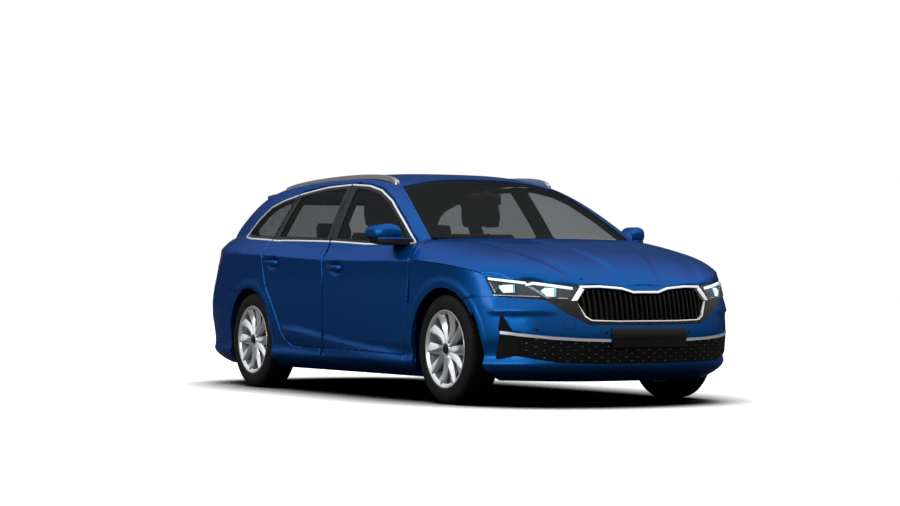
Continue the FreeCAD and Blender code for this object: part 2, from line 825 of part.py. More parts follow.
bonnet_region = bonnet_tool(0)
bonnet_space = bonnet_tool(gap)
bonnet = outer.common(bonnet_region).cut(bonnet_hull)
corner_radius = math.hypot(1114 - bonnet_x, 988 - bonnet_z)
for flank in (-1, 1):
    bonnet = bonnet.cut(turned(corner_radius, 260, bonnet_x, flank * 850, bonnet_z))
bonnet = biggest(bonnet)
hinge_side = [
    (bonnet_x - 9, bonnet_z - 9), (bonnet_x + 9, bonnet_z - 9), (1160, 950), (1225, 950), (1240, 1010),
    (1160, 1010), (1150, 978), (bonnet_x - 2, bonnet_z + 12), (bonnet_x - 9, bonnet_z + 9),
]
for flank in (-1, 1):
    low_y, high_y = sorted((flank * 638, flank * 645))
    leaf = side_prism(hinge_side, 4, low_y, high_y).common(below_deck(8))
    bonnet = bonnet.fuse([leaf, turned(pin, 26, bonnet_x, flank * 651, bonnet_z)])
bonnet = biggest(bonnet)

# Tailgate, parted from the body by a surface of revolution about its hinge
tailgate_x = size("tailgate_hinge_x")
tailgate_z = size("roof_height") - 40 - size("tailgate_hinge_depth")
tailgate_edge = [
    (0.0, 545.0), (60.0, 548.0), (300.0, 598.0), (520.0, 640.0), (640.0, 628.0), (760.0, 600.0),
    (900.0, 575.0), (1300.0, 560.0),
]
tailgate_foot = 590.0


def tailgate_tool(more):
    """Everything that belongs to the tailgate, grown by an amount."""
    profile = [(r, y + more) for r, y in tailgate_edge]
    turn = about_crosswise(profile, tailgate_x, tailgate_z)
    behind = side_prism(
        [
            (-1640 + more, 1250), (-1640 + more, 1600), (-2600, 1600), (-2600, tailgate_foot - more),
            (-2000, tailgate_foot - more), (-1900, 900),
        ],
        0, -1200, 1200,
    )
    return turn.common(behind)


tailgate_region = tailgate_tool(0)
tailgate_space = tailgate_tool(gap)
tail_in = inner_pair(46, 46, 40)
tailgate_glass_outline = [
    (-455, 1296), (455, 1296), (520, 1220), (575, 1080), (560, 1008), (0, 992), (-560, 1008), (-575, 1080),
    (-520, 1220),
]
tailgate = hollow(outer.common(tailgate_region), tail_in)
tailgate = biggest(tailgate)
spoiler_side = [(-1700, 1350), (-1700, 1398), (-1950, 1368), (-1960, 1361), (-1948, 1352), (-1850, 1330), (-1830, 1280)]
spoiler_plan = [(-1690, -520), (-1690, 520), (-1880, 440), (-1945, 370), (-1962, 0), (-1945, -370), (-1880, -440)]
spoiler = side_prism(spoiler_side, 0, -700, 700).common(plan_prism(spoiler_plan, 20, 1200, 1500))
spoiler_front = [(520, 1240), (520, 1326), (426, 1354), (330, 1374), (200, 1390), (0, 1400)]
spoiler_front += [(-y, z) for y, z in reversed(spoiler_front[:-1])]
spoiler = spoiler.common(front_prism(spoiler_front, 0, -2000, -1600)).cut(house_solid(10))
tailgate = tailgate.fuse(spoiler)
glass_hole = front_prism([(y, z) for y, z in grown([(y, z) for y, z in tailgate_glass_outline], fit)], 24, -2400, -1800)
tailgate_glass = biggest(
    house_in_glass.cut(house_in_glass_back).common(front_prism(tailgate_glass_outline, 24, -2400, -1800))
)
tailgate = biggest(tailgate.cut(glass_hole))

# Lamps
lamp_front_outline = [(-1000, 771), (-855, 754), (-421, 702), (-483, 571), (-620, 621), (-855, 646), (-1000, 650)]
lamp_side_outline = [(1907, 760), (2010, 640), (2010, 400), (2500, 400), (2500, 900), (1800, 900)]
lamp_front = front_prism(lamp_front_outline, 3, 1700, 2400)
lamp_side = side_prism(lamp_side_outline, 3, RIGHT, -300)
lamp_zone = lamp_front.common(lamp_side)
lamp_space = front_prism(grown(lamp_front_outline, fit), 3, 1700, 2400).common(
    side_prism(grown(lamp_side_outline, fit), 3, RIGHT, -300)
)
lamp_in = hull_solid(70, 30)
headlamp_right = biggest(outer_right.common(lamp_zone).cut(bonnet_space).cut(lamp_in))

tail_side = [(-1752, 938), (-1840, 862), (-2000, 812), (-2150, 776), (-2500, 770), (-2500, 950), (-1995, 947)]
tail_zone = side_prism(tail_side, 4, RIGHT, -340)
tail_space = side_prism(grown(tail_side, fit), 4, RIGHT, -340)
tail_lamp_in = hull_solid(44, 20)
tail_layer = outer_right.common(tail_zone).cut(tail_lamp_in)
tail_lamp_right = biggest(tail_layer.cut(tailgate_space))
tailgate_lamp_right = biggest(tail_layer.common(tailgate_region).common(block(-2500, -1700, -1000, -345, 700, 1000)))
tail_lamp_space = tail_space.cut(tail_lamp_in)
tailgate = biggest(tailgate.cut(tail_lamp_space).cut(mirrored(tail_lamp_space)))

# Roof, windscreen and the seam between roof and body side
windscreen_plan = [
    (1195, 0), (1178, -300), (1130, -560), (1040, -727), (720, -655), (406, -574), (380, -400), (366, 0),
    (380, 400), (406, 574), (720, 655), (1040, 727), (1130, 560), (1178, 300),
]
windscreen_zone = plan_prism(windscreen_plan, 8, 900, 1600)
windscreen = biggest(house_in_glass.cut(house_in_glass_back).common(windscreen_zone).cut(below_deck(-1)))
roof_seam = [
    (406, -574), (406, -586), (200, -590), (-200, -592), (-900, -588), (-1400, -572), (-1700, -552),
]
roof_plan = roof_seam + [(x, -y) for x, y in reversed(roof_seam)] + [(380, 400), (366, 0), (380, -400)]
roof_zone = plan_prism(roof_plan, 0, 1200, 1600)
roof_in = house_solid(24)
roof_panel = outer.common(roof_zone).cut(roof_in).cut(tailgate_space)
lip_sweep = turned(size("tailgate_lip_radius") + gap, 1300, tailgate_x, 0, tailgate_z)
roof_panel = biggest(roof_panel.common(block(-1690, 420, -700, 700, 1200, 1600)).cut(lip_sweep))

# Fender
seam_line = [(2030, 645), (2006, 644), (1850, 641), (1740, 630), (1660, 612)]
fender_outline = [
    (990, 150), (990, 275), (1037.5, 489), (1094.5, 860), (1100, 866), (1112, 900), (2100, 900), (2100, 646.5),
] + [(x, z + 2.5) for x, z in seam_line[1:]] + [(1660, 300), (1464, 150)]
fender_zone = side_prism(fender_outline, 0, RIGHT, -500)
fender_layer = outer_right.common(fender_zone).cut(thin_hull)
fender = fender_layer.cut(front_well).cut(bonnet_space).cut(lamp_space).cut(front_opening).cut(front_nose)
fender = biggest(fender.cut(block(1000, 2600, -1200, 0, 0, 149)))

# Front bumper
bumper_outline = [(2420, 100), (2420, 800), (2030, 800)] + seam_line + [(1660, 100)]
bumper_zone = side_prism(bumper_outline, 0, -1200, 1200)
bumper = outer.common(bumper_zone).cut(bumper_hull).cut(both_front_wells)
grille_outline = [
    (0, 668), (88, 668), (160, 690), (300, 701), (421, 699), (500, 640), (483, 571), (425, 500), (385, 480),
    (0, 477), (-385, 480), (-425, 500), (-483, 571), (-500, 640), (-421, 699), (-300, 701), (-160, 690),
    (-88, 668),
]
intake_outline = [
    (268, 392), (560, 408), (720, 430), (775, 441), (775, 309), (555, 262), (268, 254), (-268, 254),
    (-555, 262), (-775, 309), (-775, 441), (-720, 430), (-560, 408), (-268, 392),
]
curtain_outline = [(775.5, 305), (840, 288), (900, 288), (900, 545), (850, 545), (822, 536), (775.5, 441)]
grille_hole = front_prism(grown(grille_outline, fit), 0, 1950, 2500)
intake_hole = front_prism(grown(intake_outline, fit), 0, 1950, 2500)
curtain_hole = front_prism([(-y, z) for y, z in curtain_outline], 0, 2072, 2500)
intake_hole = intake_hole.fuse(curtain_hole).fuse(mirrored(curtain_hole))
both_lamp_spaces = lamp_space.fuse(mirrored(lamp_space))
bumper = bumper.cut(bonnet_space).cut(both_lamp_spaces).cut(grille_hole).cut(intake_hole)
front_bumper = solids_over(bumper, 20000)

# Grille: a frame round the opening and upright slats behind it
frame_ring = front_prism(grille_outline, 0, 1950, 2500).cut(front_prism(grown(grille_outline, -22), 0, 1950, 2500))
grille_frame = outer.common(frame_ring).cut(hull_solid(48, 48)).cut(bonnet_space).cut(both_lamp_spaces)
slat_space = front_prism(grown(grille_outline, -22), 0, 1950, 2500)
slat_layer = hull_solid(14, 14).cut(hull_solid(44, 44)).common(slat_space).cut(bonnet_space).cut(both_lamp_spaces)
slats = []
for k in range(-13, 14):
    slats.append(block(2000, 2400, k * 34 - 4, k * 34 + 4, 460, 720))
slats = slat_layer.common(Part.makeCompound(slats))
back_plate = hull_solid(44, 44).cut(hull_solid(48, 48)).common(slat_space).cut(bonnet_space).cut(both_lamp_spaces)
mesh_space = front_prism(grown(intake_outline, -0.2), 0, 1950, 2500)
bars = [block(1900, 2400, -900, 900, 262 + 36 * k, 268 + 36 * k) for k in range(5)]
mesh = hull_solid(20, 20).common(mesh_space).cut(hull_solid(32, 32)).cut(both_front_wells)
mesh = mesh.common(Part.makeCompound(bars))
grilles = Part.makeCompound(
    [biggest(grille_frame)] + [s for s in slats.Solids if s.Volume > 500] + back_plate.Solids
    + [s for s in mesh.Solids if s.Volume > 500]
)

# Rear bumper
rear_seam = [(-1360, 652), (-1480, 662), (-1700, 698), (-1950, 742), (-2150, 773)]
rear_bumper_outline = [(-1300, 130), (-1300, 640)] + rear_seam + [(-2500, 773), (-2500, 130)]
rear_bumper_zone = side_prism(rear_bumper_outline, 0, -1200, 1200)
rear_bumper = outer.common(rear_bumper_zone).cut(bumper_hull).cut(both_rear_wells)
rear_bumper = rear_bumper.cut(tailgate_space).cut(tail_space).cut(mirrored(tail_space))
rear_bumper = biggest(rear_bumper)

# Body side
body = outer_right.common(block(-2500, 1118, RIGHT, 0, 0, 1700))
body = hollow(body, cabin)
front_of_seam = plan_prism(
    [(1300, 100), (1300, -760), (1118, -742), (1040, -727.3), (720, -655.3), (406, -574.3), (406, -588), (200, -592),
     (-200, -594), (-900, -590), (-1400, -574), (-1700, -554), (-1700, 100)], 0, 960, 1700
)
body = body.cut(front_of_seam)
body = body.cut(block(-1700, 1300, -742, 100, 0, 965)).cut(block(-2600, -1690, -560, 100, 0, 1700))
body = body.cut(deep_opening_front)
body = body.cut(deep_opening_rear)
body = body.cut(skin_opening)
body = body.cut(front_nose)
body = body.cut(rear_nose)
body = body.cut(side_prism(grown(fender_outline, fit), 0, RIGHT, -500).cut(hull_solid(thin + fit, thin + fit)))
body = body.cut(bonnet_space).cut(tailgate_space).cut(tail_lamp_space)
body = body.cut(side_prism([(x, z + seam) for x, z in rear_bumper_outline[2:]] + [(-1300, 0), (-1300, 654)], 0, RIGHT, 0))
body = body.cut(side_prism(grown(quarter_glass_outline, fit), 14, RIGHT, -400))
body = body.cut(front_well)
rear_house = turned(rear_arch + 18, 250, rear_axle, -747, wheel_z)
rear_house = rear_house.common(block(-1700, -700, -900, -600, 452, 900)).common(inside_bumper)
body = body.fuse(rear_house).cut(rear_well)
pad_layer = hull_solid(26 + fit, 26 + fit).cut(hull_solid(40, 40))
pads = pad_layer.common(Part.makeCompound([block(-52, -30, -1000, -700, 660, 700), block(-969, -957, -1000, -700, 900, 940)]))
body_side_right = biggest(body.fuse(pads.Solids))


# Floor, bulkhead and the members that carry the engine bay
floor_y = 741.7
floor_top = floor_z + size("floor_thickness")
floor_pan = block(-840, 1105, -floor_y, floor_y, floor_z, floor_top)
floor_pan = floor_pan.fuse(block(-316, 1085, -112, 112, floor_z, 300))
floor_pan = floor_pan.cut(block(-330, 1150, -90, 90, floor_z - 1, 278)).fuse(block(-330, -316, -112, 112, floor_z, floor_top))
floor_pan = floor_pan.fuse(
    [
        block(-840, -800, -floor_y, floor_y, floor_top, 400),
        block(-2190, -800, -615, 615, 400, 430),
        block(-2190, -945, -610, 610, 430, 432),
        block(-2215, -2190, -556, 556, 400, 572),
        block(1085, 1105, -floor_y, floor_y, floor_top, 900),
        block(1085, 1190, -690, 690, 896, 912),
        block(2180, 2212, -520, 520, 380, 470),
        block(2120, 2150, -380, 380, 300, 690),
        block(2150, 2180, -450, 450, 400, 450),
        block(-2318, -2190, -40, 40, 540, tailgate_foot - fit),
        block(2122, 2148, -330, -300, 680, 900).common(below_deck(size("bonnet_thickness") + fit)),
        block(2122, 2148, 300, 330, 680, 900).common(below_deck(size("bonnet_thickness") + fit)),
    ]
)
for flank in (-1, 1):
    low_y, high_y = sorted((flank * 650, flank * 658))
    ear = side_prism(
        [(bonnet_x - 12, bonnet_z - 11), (1087, 941), (1087, 905), (1130, 905), (bonnet_x + 14, bonnet_z), (bonnet_x + 6, bonnet_z + 13),
         (bonnet_x - 12, bonnet_z + 13)], 4, low_y, high_y
    )
    bore = turned(pin + clearance, 40, bonnet_x, flank * 654, bonnet_z)
    floor_pan = floor_pan.fuse(ear).cut(bore)
for flank in (-1, 1):
    inner_y, outer_y = sorted((flank * 400, flank * 450))
    floor_pan = floor_pan.fuse(block(1105, 2180, inner_y, outer_y, 380, 460))
    inner_y, outer_y = sorted((flank * 450, flank * 468))
    apron = block(1105, 2080, inner_y, outer_y, 380, 760)
    inner_y, outer_y = sorted((flank * 450, flank * 655))
    tower = block(1385, 1545, inner_y, outer_y, 728, 770)
    ring = Part.makeCylinder(396, 395, Vector(front_axle, 0, wheel_z), Vector(0, flank, 0))
    ring = ring.cut(Part.makeCylinder(386, 395, Vector(front_axle, 0, wheel_z), Vector(0, flank, 0)))
    ring.translate(Vector(0, flank * 460, 0))
    ring = ring.common(block(1118 + fit, 1900, -1000, 1000, 300, 800)).common(inside_bumper)
    strut_hole = Part.makeCylinder(52, 60, Vector(front_axle, flank * 590, 668))
    floor_pan = floor_pan.fuse(apron).fuse(tower).fuse(ring.cut(strut_hole))
floor_pan = biggest(floor_pan)

# Running gear
kingpin_y = wheel_y - size("kingpin_inset")
front_subframe = block(1360, 1570, -330, 330, 186, 256)
struts = []
for flank in (-1, 1):
    arm_ends = []
    for y, corners in (
        (325, [(1372, 200), (1372, 232), (1558, 232), (1558, 200)]),
        (kingpin_y, [(front_axle - 16, 208), (front_axle - 16, 230), (front_axle + 16, 230), (front_axle + 16, 208)]),
    ):
        ring = [Vector(x, flank * y, z) for x, z in corners]
        arm_ends.append(Part.makePolygon(ring + ring[:1]))
    arm = Part.makeLoft(arm_ends, True).fuse(Part.makeCylinder(20, 22, Vector(front_axle, flank * kingpin_y, 208)))
    low_y, high_y = sorted((flank * 300, flank * 445))
    post_low, post_high = sorted((flank * 405, flank * 445))
    front_subframe = front_subframe.fuse(arm).fuse(
        [block(1362, 1402, low_y, high_y, 206, 246), block(1362, 1402, post_low, post_high, 206, 380 - fit)]
    )
    front_subframe = front_subframe.cut(
        Part.makeCylinder(pin + clearance, 60, Vector(front_axle, flank * kingpin_y, 190))
    )
    strut = Part.makeCylinder(23, 270 - fit, Vector(front_axle, flank * 590, 458))
    struts.append(strut.fuse(Part.makeCylinder(44, 122, Vector(front_axle, flank * 590, 604))))
    shaft = Part.makeCylinder(size("axle_radius"), 620 - 355 - fit, Vector(front_axle, flank * (355 + fit), wheel_z),
                              Vector(0, flank, 0))
    struts.append(shaft.fuse(Part.makeCylinder(40, 50, Vector(front_axle, flank * (355 + fit), wheel_z), Vector(0, flank, 0))))
front_subframe = Part.makeCompound([biggest(front_subframe)] + struts)

# Wheels. Each section is drawn in the plane through the axle: distance from the wheel's middle,
# positive towards the car, and radius.
TYRE_SECTION = [
    (-92, "sizes.bead_radius"), ("0 - sizes.tyre_width / 2", "sizes.bead_radius + 56"), (-80, "sizes.tyre_radius"),
    (80, "sizes.tyre_radius"), ("sizes.tyre_width / 2", "sizes.bead_radius + 56"), (92, "sizes.bead_radius"),
]
HUB_SECTION = [
    (-77, 0), (-77, 70), (-47, 70), (-47, 38), (2, 38), (2, "sizes.disc_radius"),
    ("2 + sizes.disc_thickness", "sizes.disc_radius"), ("2 + sizes.disc_thickness", 38), (41, 38),
    (41, "sizes.axle_radius + sizes.pin_clearance"), (-18, "sizes.axle_radius + sizes.pin_clearance"), (-18, 0),
]
BARREL_SECTION = [
    (92.4, "sizes.bead_radius - 0.3"), (95.8, "sizes.rim_flange_radius - 12"), (98, "sizes.rim_flange_radius - 12"),
    (97, "sizes.bead_radius - 8"), (60, "sizes.bead_radius - 8"), (30, "sizes.bead_radius - 22"),
    (-40, "sizes.bead_radius - 22"), (-60, "sizes.bead_radius - 8"), (-90, "sizes.bead_radius - 8"),
    (-98.5, "sizes.rim_flange_radius - 3"), (-96.5, "sizes.rim_flange_radius"),
    (-95.7, "sizes.rim_flange_radius"), (-92.4, "sizes.bead_radius - 0.3"),
]
SPOKE_PAIR = [
    (-22, -41), (-74, "17 - sizes.bead_radius"), (-50, "10 - sizes.bead_radius"), (0, -67),
    (50, "10 - sizes.bead_radius"), (74, "17 - sizes.bead_radius"), (22, -41),
]


def wheel_body(name, axle, flank):
    """An empty body at a wheel's place; flank is -1 on the right, and the left one is turned round."""
    body = doc.addObject("PartDesign::Body", name)
    body.Placement = FreeCAD.Placement(Vector(), FreeCAD.Rotation(Vector(0, 0, 1), 0 if flank < 0 else 180))
    side = "0 - sizes.track / 2" if flank < 0 else "sizes.track / 2"
    return bind(body, at=(axle, side, WHEEL_Z))


def make_tyre(name, axle, flank):
    body = wheel_body(name, axle, flank)
    turned_feature(body, name + "_ring", outline_sketch(body, name + "_section", "YZ_Plane", TYRE_SECTION))
    return body


def make_rim(name, axle, flank):
    """Hub with its brake disc, five pairs of spokes, and the barrel that the tyre sits on."""
    body = wheel_body(name, axle, flank)
    turned_feature(body, name + "_hub", outline_sketch(body, name + "_hub_section", "YZ_Plane", HUB_SECTION))
    pair = body.newObject("PartDesign::Pad", name + "_spokes")
    pair.Profile = outline_sketch(body, name + "_spoke_outline", "XZ_Plane", SPOKE_PAIR, 54)
    pair.Length = 34
    body.Tip = pair
    doc.recompute()
    ring = body.newObject("PartDesign::PolarPattern", name + "_spoke_ring")
    ring.Originals = [pair]
    axis = [feature for feature in body.Origin.OriginFeatures if feature.Role == "Y_Axis"][0]
    ring.Axis = (axis, [""])
    ring.Angle = 360
    ring.Occurrences = 5
    body.Tip = ring
    doc.recompute()
    turned_feature(body, name + "_barrel", outline_sketch(body, name + "_barrel_section", "YZ_Plane", BARREL_SECTION))
    return body


for side, flank in (("right", -1), ("left", 1)):
    for end, axle in (("front", FRONT_AXLE), ("rear", REAR_AXLE)):
        keep_object(f"tyre_{end}_{side}", make_tyre(f"tyre_{end}_{side}", axle, flank))
        keep_object(f"rim_{end}_{side}", make_rim(f"rim_{end}_{side}", axle, flank))

# Engine, as one block with rounded edges
engine_core = box_between("engine_core", 1240, 1860, -355, 355, "256 + sizes.fit_gap", 780)
doc.recompute()
engine_block = doc.addObject("Part::Fillet", "engine_block")
engine_block.Base = engine_core
engine_block.Edges = [(i + 1, 22.0, 22.0) for i in range(len(engine_core.Shape.Edges))]
keep_object("engine_block", engine_block)

# Knuckle: an upright with the steering pin, the stub axle, the hub flange and the brake caliper
knuckle_pieces = [
    box_between("knuckle_upright", f"{FRONT_AXLE} - 34", f"{FRONT_AXLE} + 34", -700, -640, 262, 450),
    box_between("knuckle_foot", f"{FRONT_AXLE} - 22", f"{FRONT_AXLE} + 22", f"0 - ({KINGPIN_Y}) - 18", -640, 238, 270),
    rod("knuckle_pin", "sizes.hinge_pin_radius", 62, (FRONT_AXLE, f"0 - ({KINGPIN_Y})", 200)),
    box_between("knuckle_arm", f"{FRONT_AXLE} - 24", f"{FRONT_AXLE} + 24", -650, -572, 426, 452),
    rod("knuckle_flange", 58, 46, (FRONT_AXLE, -700, WHEEL_Z), (0, 1, 0)),
    rod("knuckle_axle", "sizes.axle_radius", 105, (FRONT_AXLE, -785, WHEEL_Z), (0, 1, 0)),
    box_between("caliper", f"{FRONT_AXLE} + 60", f"{FRONT_AXLE} + 110", -690, -660, f"{WHEEL_Z} - 40", f"{WHEEL_Z} + 40"),
    box_between("caliper_arm", f"{FRONT_AXLE} + 20", f"{FRONT_AXLE} + 70", -690, -660, f"{WHEEL_Z} - 20", f"{WHEEL_Z} + 20"),
]
knuckle_right = keep_object("knuckle_right", joined("knuckle_right", knuckle_pieces))
keep_object("knuckle_left", flipped("knuckle_left", knuckle_right))

# Rear axle: a beam between two trailing arms, with stub axles and spring seats
rear_pieces = [box_between("axle_beam", f"{REAR_AXLE} + 30", f"{REAR_AXLE} + 100", -590, 590, 285, 345)]
for side, flank in (("right", -1), ("left", 1)):
    inner, outer = sorted((flank * 556, flank * 606))
    out = (0, flank, 0)
    rear_pieces += [
        box_between(f"trailing_arm_{side}", f"{REAR_AXLE} - 60", -870, inner, outer, 290, 345),
        box_between(f"arm_mount_{side}", -905, -870, inner, outer, 330, "400 - sizes.fit_gap"),
        rod(f"rear_hub_{side}", 42, 130, (REAR_AXLE, flank * 562, WHEEL_Z), out),
        rod(f"rear_stub_{side}", "sizes.axle_radius", 100, (REAR_AXLE, flank * 685, WHEEL_Z), out),
        rod(f"spring_{side}", 46, 58, (f"{REAR_AXLE} + 65", flank * 480, 341)),
    ]
keep_object("rear_axle", joined("rear_axle", rear_pieces))

# Cabin
dash_side = [
    (1084, 640), (1084, 930), (1000, 948), (860, 944), (770, 915), (742, 880), (748, 830), (790, 760),
    (820, 660), (900, 640),
]
dashboard = side_prism(dash_side, 14, -734, 734)
console_side = [(830, 300.3), (830, 700), (780, 690), (650, 560), (420, 520), (0, 510), (-20, 300.3)]
dashboard = dashboard.fuse(side_prism(console_side, 14, -92, 92))
column_axis = Vector(-0.906, 0, 0.423)
wheel_centre = Vector(545, 375, 862)
column_start = wheel_centre - column_axis * (38 + fit)
column = Part.makeCylinder(30, 260, column_start, column_axis * -1)
dashboard = biggest(dashboard.fuse(column))

ring_path = size("steering_wheel_radius") - 14
grip = Part.makeTorus(ring_path, 14, wheel_centre, column_axis)
boss = Part.makeCylinder(48, 34, wheel_centre - column_axis * 38, column_axis)
steering = grip.fuse(boss)
for turn in (0, 90, 180):
    spoke = Part.makeBox(ring_path, 34, 12, Vector(0, -17, -18))
    spoke.rotate(Vector(0, 0, 0), Vector(0, 0, 1), turn - 90)
    spoke.Placement = FreeCAD.Placement(wheel_centre, FreeCAD.Rotation(Vector(0, 0, 1), column_axis)).multiply(
        spoke.Placement
    )
    steering = steering.fuse(spoke)
steering_wheel = biggest(steering)

cushion_side = [(-70, 318), (470, 318), (492, 360), (480, 440), (440, 468), (300, 452), (40, 428), (-70, 430)]
back_side = [(-100, 400), (20, 420), (-40, 640), (-120, 960), (-150, 1040), (-190, 1062), (-232, 1040), (-230, 960), (-150, 560)]
head_side = [(-178, 1100), (-160, 1180), (-185, 1260), (-225, 1278), (-262, 1250), (-262, 1160), (-240, 1100)]
seat = side_prism(cushion_side, 20, -620, -130).fuse(side_prism(back_side, 24, -615, -135))
seat = seat.fuse(side_prism(head_side, 22, -505, -245))
seat = seat.fuse([turned(8, 120, -205, -375 + k * 50, 1080, Vector(0, 0, 1)) for k in (-1, 1)])
seat = seat.fuse([block(-20, 430, -375 + k * 190 - 20, -375 + k * 190 + 20, floor_top + 0.3, 330) for k in (-1, 1)])
seat = biggest(seat)

bench_side = [(-798, 230), (-330, 230), (-318, 300), (-330, 430), (-360, 462), (-600, 440), (-798, 440)]
bench_back = [(-880, 430.3), (-720, 430.3), (-740, 560), (-830, 940), (-862, 985), (-905, 980), (-925, 930)]
bench_head = [(-870, 1010), (-856, 1080), (-880, 1135), (-915, 1140), (-938, 1110), (-932, 1010)]
bench = side_prism(bench_side, 18, -650, 650).fuse(side_prism(bench_back, 18, -612, 612))
for middle in (-400, 0, 400):
    bench = bench.fuse(side_prism(bench_head, 16, middle - 120, middle + 120))
    bench = bench.fuse([turned(7, 90, -897, middle + k * 45, 1000, Vector(0, 0, 1)) for k in (-1, 1)])
bench = bench.fuse([block(-780, -360, k * 500 - 30, k * 500 + 30, floor_top + 0.3, 240) for k in (-1, 1)])
rear_bench = biggest(bench)

# Roof rails and mirrors
rail_top = [
    (345, 1368), (315, 1394), (200, 1419), (46, 1431), (-228, 1437), (-500, 1435), (-768, 1428), (-1000, 1417),
    (-1187, 1401), (-1262, 1386),
]
rail_low = [
    (345, 1348), (308, 1362), (195, 1387), (46, 1401), (-228, 1409), (-500, 1409), (-768, 1404), (-1000, 1394),
    (-1187, 1380), (-1262, 1368),
]
rail_edge_top = smooth_edge([Vector(x, -589, z) for x, z in rail_top])
rail_edge_low = smooth_edge([Vector(x, -589, z) for x, z in rail_low])
rail_ends = [
    Part.LineSegment(Vector(x, -589, z0), Vector(x, -589, z1)).toShape()
    for x, z0, z1 in ((rail_top[0][0], rail_top[0][1], rail_low[0][1]), (rail_top[-1][0], rail_top[-1][1], rail_low[-1][1]))
]
rail = Part.Face(Part.Wire(Part.__sortEdges__([rail_edge_top, rail_edge_low] + rail_ends))).extrude(Vector(0, 28, 0))
rail = rail.fuse(block(240, 316, -587, -563, 1300, 1376)).fuse(block(-1256, -1190, -587, -563, 1300, 1378))
rail = rail.fuse(block(-560, -500, -587, -563, 1300, 1420))
rail = biggest(rail.cut(house_solid(-fit)))

mirror_rings = []
for y, x0, x1, z0, z1 in (
    (-1006, 718, 800, 1012, 1050), (-994, 705, 850, 998, 1066), (-950, 722, 892, 988, 1083),
    (-890, 745, 915, 986, 1080), (-858, 775, 912, 992, 1062),
):
    corners = [Vector(x0, y, z0), Vector(x1, y, z0), Vector(x1, y, z1), Vector(x0, y, z1)]
    mirror_rings.append(rounded(corners, 0.42 * min(x1 - x0, z1 - z0)))
mirror = Part.makeLoft(mirror_rings, True)
stalk = Part.makeLoft(
    [
        rounded([Vector(735, -985, 966), Vector(850, -985, 966), Vector(850, -985, 1002), Vector(735, -985, 1002)], 8),
        rounded([Vector(750, -900, 954), Vector(925, -900, 954), Vector(925, -900, 1000), Vector(750, -900, 1000)], 8),
        rounded([Vector(800, -800, 950), Vector(965, -800, 950), Vector(965, -800, 992), Vector(800, -800, 992)], 8),
    ],
    True,
)
mirror = mirror.fuse(stalk).cut(house_solid(-fit)).cut(hull_solid(-fit, -fit))
mirror_right = biggest(mirror)

keep("body_side_right", body_side_right)
keep("body_side_left", mirrored(body_side_right))
keep("roof_panel", roof_panel)
keep("windscreen", windscreen)
keep("fender_right", fender)
keep("fender_left", mirrored(fender))
keep("front_bumper", front_bumper)
keep("rear_bumper", rear_bumper)
keep("grilles", grilles)
keep("headlamps", Part.makeCompound([headlamp_right, mirrored(headlamp_right)]))
keep("tail_lamps", Part.makeCompound([tail_lamp_right, mirrored(tail_lamp_right)]))
keep("quarter_glass", Part.makeCompound([quarter_right, mirrored(quarter_right)]))
keep("bonnet", bonnet)
keep("tailgate", tailgate)
keep("tailgate_glass", tailgate_glass)
keep("tailgate_lamps", Part.makeCompound([tailgate_lamp_right, mirrored(tailgate_lamp_right)]))
keep("floor_pan", floor_pan)
keep("front_subframe", front_subframe)
keep("dashboard", dashboard)
keep("steering_wheel", steering_wheel)
keep("front_seats", Part.makeCompound([seat, mirrored(seat)]))
keep("rear_bench", rear_bench)
keep("roof_rails", Part.makeCompound([rail, mirrored(rail)]))
for side, flip in (("right", lambda s: s), ("left", mirrored)):
    keep(f"mirror_{side}", flip(mirror_right))
    keep(f"door_front_{side}", flip(door_front_right))
    keep(f"door_rear_{side}", flip(door_rear_right))
    keep(f"glass_front_{side}", flip(glass_front_right))
    keep(f"glass_rear_{side}", flip(glass_rear_right))

doc.recompute()
for item in doc.Objects:
    if "Invalid" in item.State or "Error" in item.State:
        raise RuntimeError(f"{item.Name} did not recompute: {item.State}")
os.makedirs("parts", exist_ok=True)
for name, item in parts.items():
    if item.Shape.isNull() or not item.Shape.isValid():
        raise RuntimeError(f"{name} has no valid shape")
    item.Shape.exportStep(f"parts/{name}.step")
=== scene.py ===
# %% [markdown]
# A blue station wagon in a white studio.
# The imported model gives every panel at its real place. This lesson gives the panels their paint, adds
# the creases that a press puts into the sheet metal, and builds the wheels, lamps, grille and cabin.

# %% Load the fixed model
import json
import math

import bmesh
import bpy
from mathutils import Matrix, Vector
from mathutils.bvhtree import BVHTree


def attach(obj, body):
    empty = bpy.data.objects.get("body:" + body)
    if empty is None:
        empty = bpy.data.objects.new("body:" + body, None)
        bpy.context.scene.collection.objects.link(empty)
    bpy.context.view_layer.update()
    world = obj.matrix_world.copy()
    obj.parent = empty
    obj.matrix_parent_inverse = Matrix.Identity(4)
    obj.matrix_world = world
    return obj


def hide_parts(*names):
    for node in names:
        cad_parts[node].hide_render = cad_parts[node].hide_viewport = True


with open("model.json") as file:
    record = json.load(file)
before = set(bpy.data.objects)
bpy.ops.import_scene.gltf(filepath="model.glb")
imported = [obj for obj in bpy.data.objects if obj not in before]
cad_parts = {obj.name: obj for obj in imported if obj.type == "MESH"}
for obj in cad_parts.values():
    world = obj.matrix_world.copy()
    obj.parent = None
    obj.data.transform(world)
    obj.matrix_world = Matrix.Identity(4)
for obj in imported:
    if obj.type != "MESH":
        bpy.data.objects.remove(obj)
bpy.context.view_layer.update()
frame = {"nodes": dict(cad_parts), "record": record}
nodes = frame["nodes"]
print("nodes", len(nodes))

# %% [markdown]
# Colours are written as in a paint chart. A shader wants linear light, so one function turns them.
# Nodes are added by one small function, which takes the sockets by name. A pattern could get its scale
# by trial, but here it is worked out from a size in millimetres, so it fits the real surface.

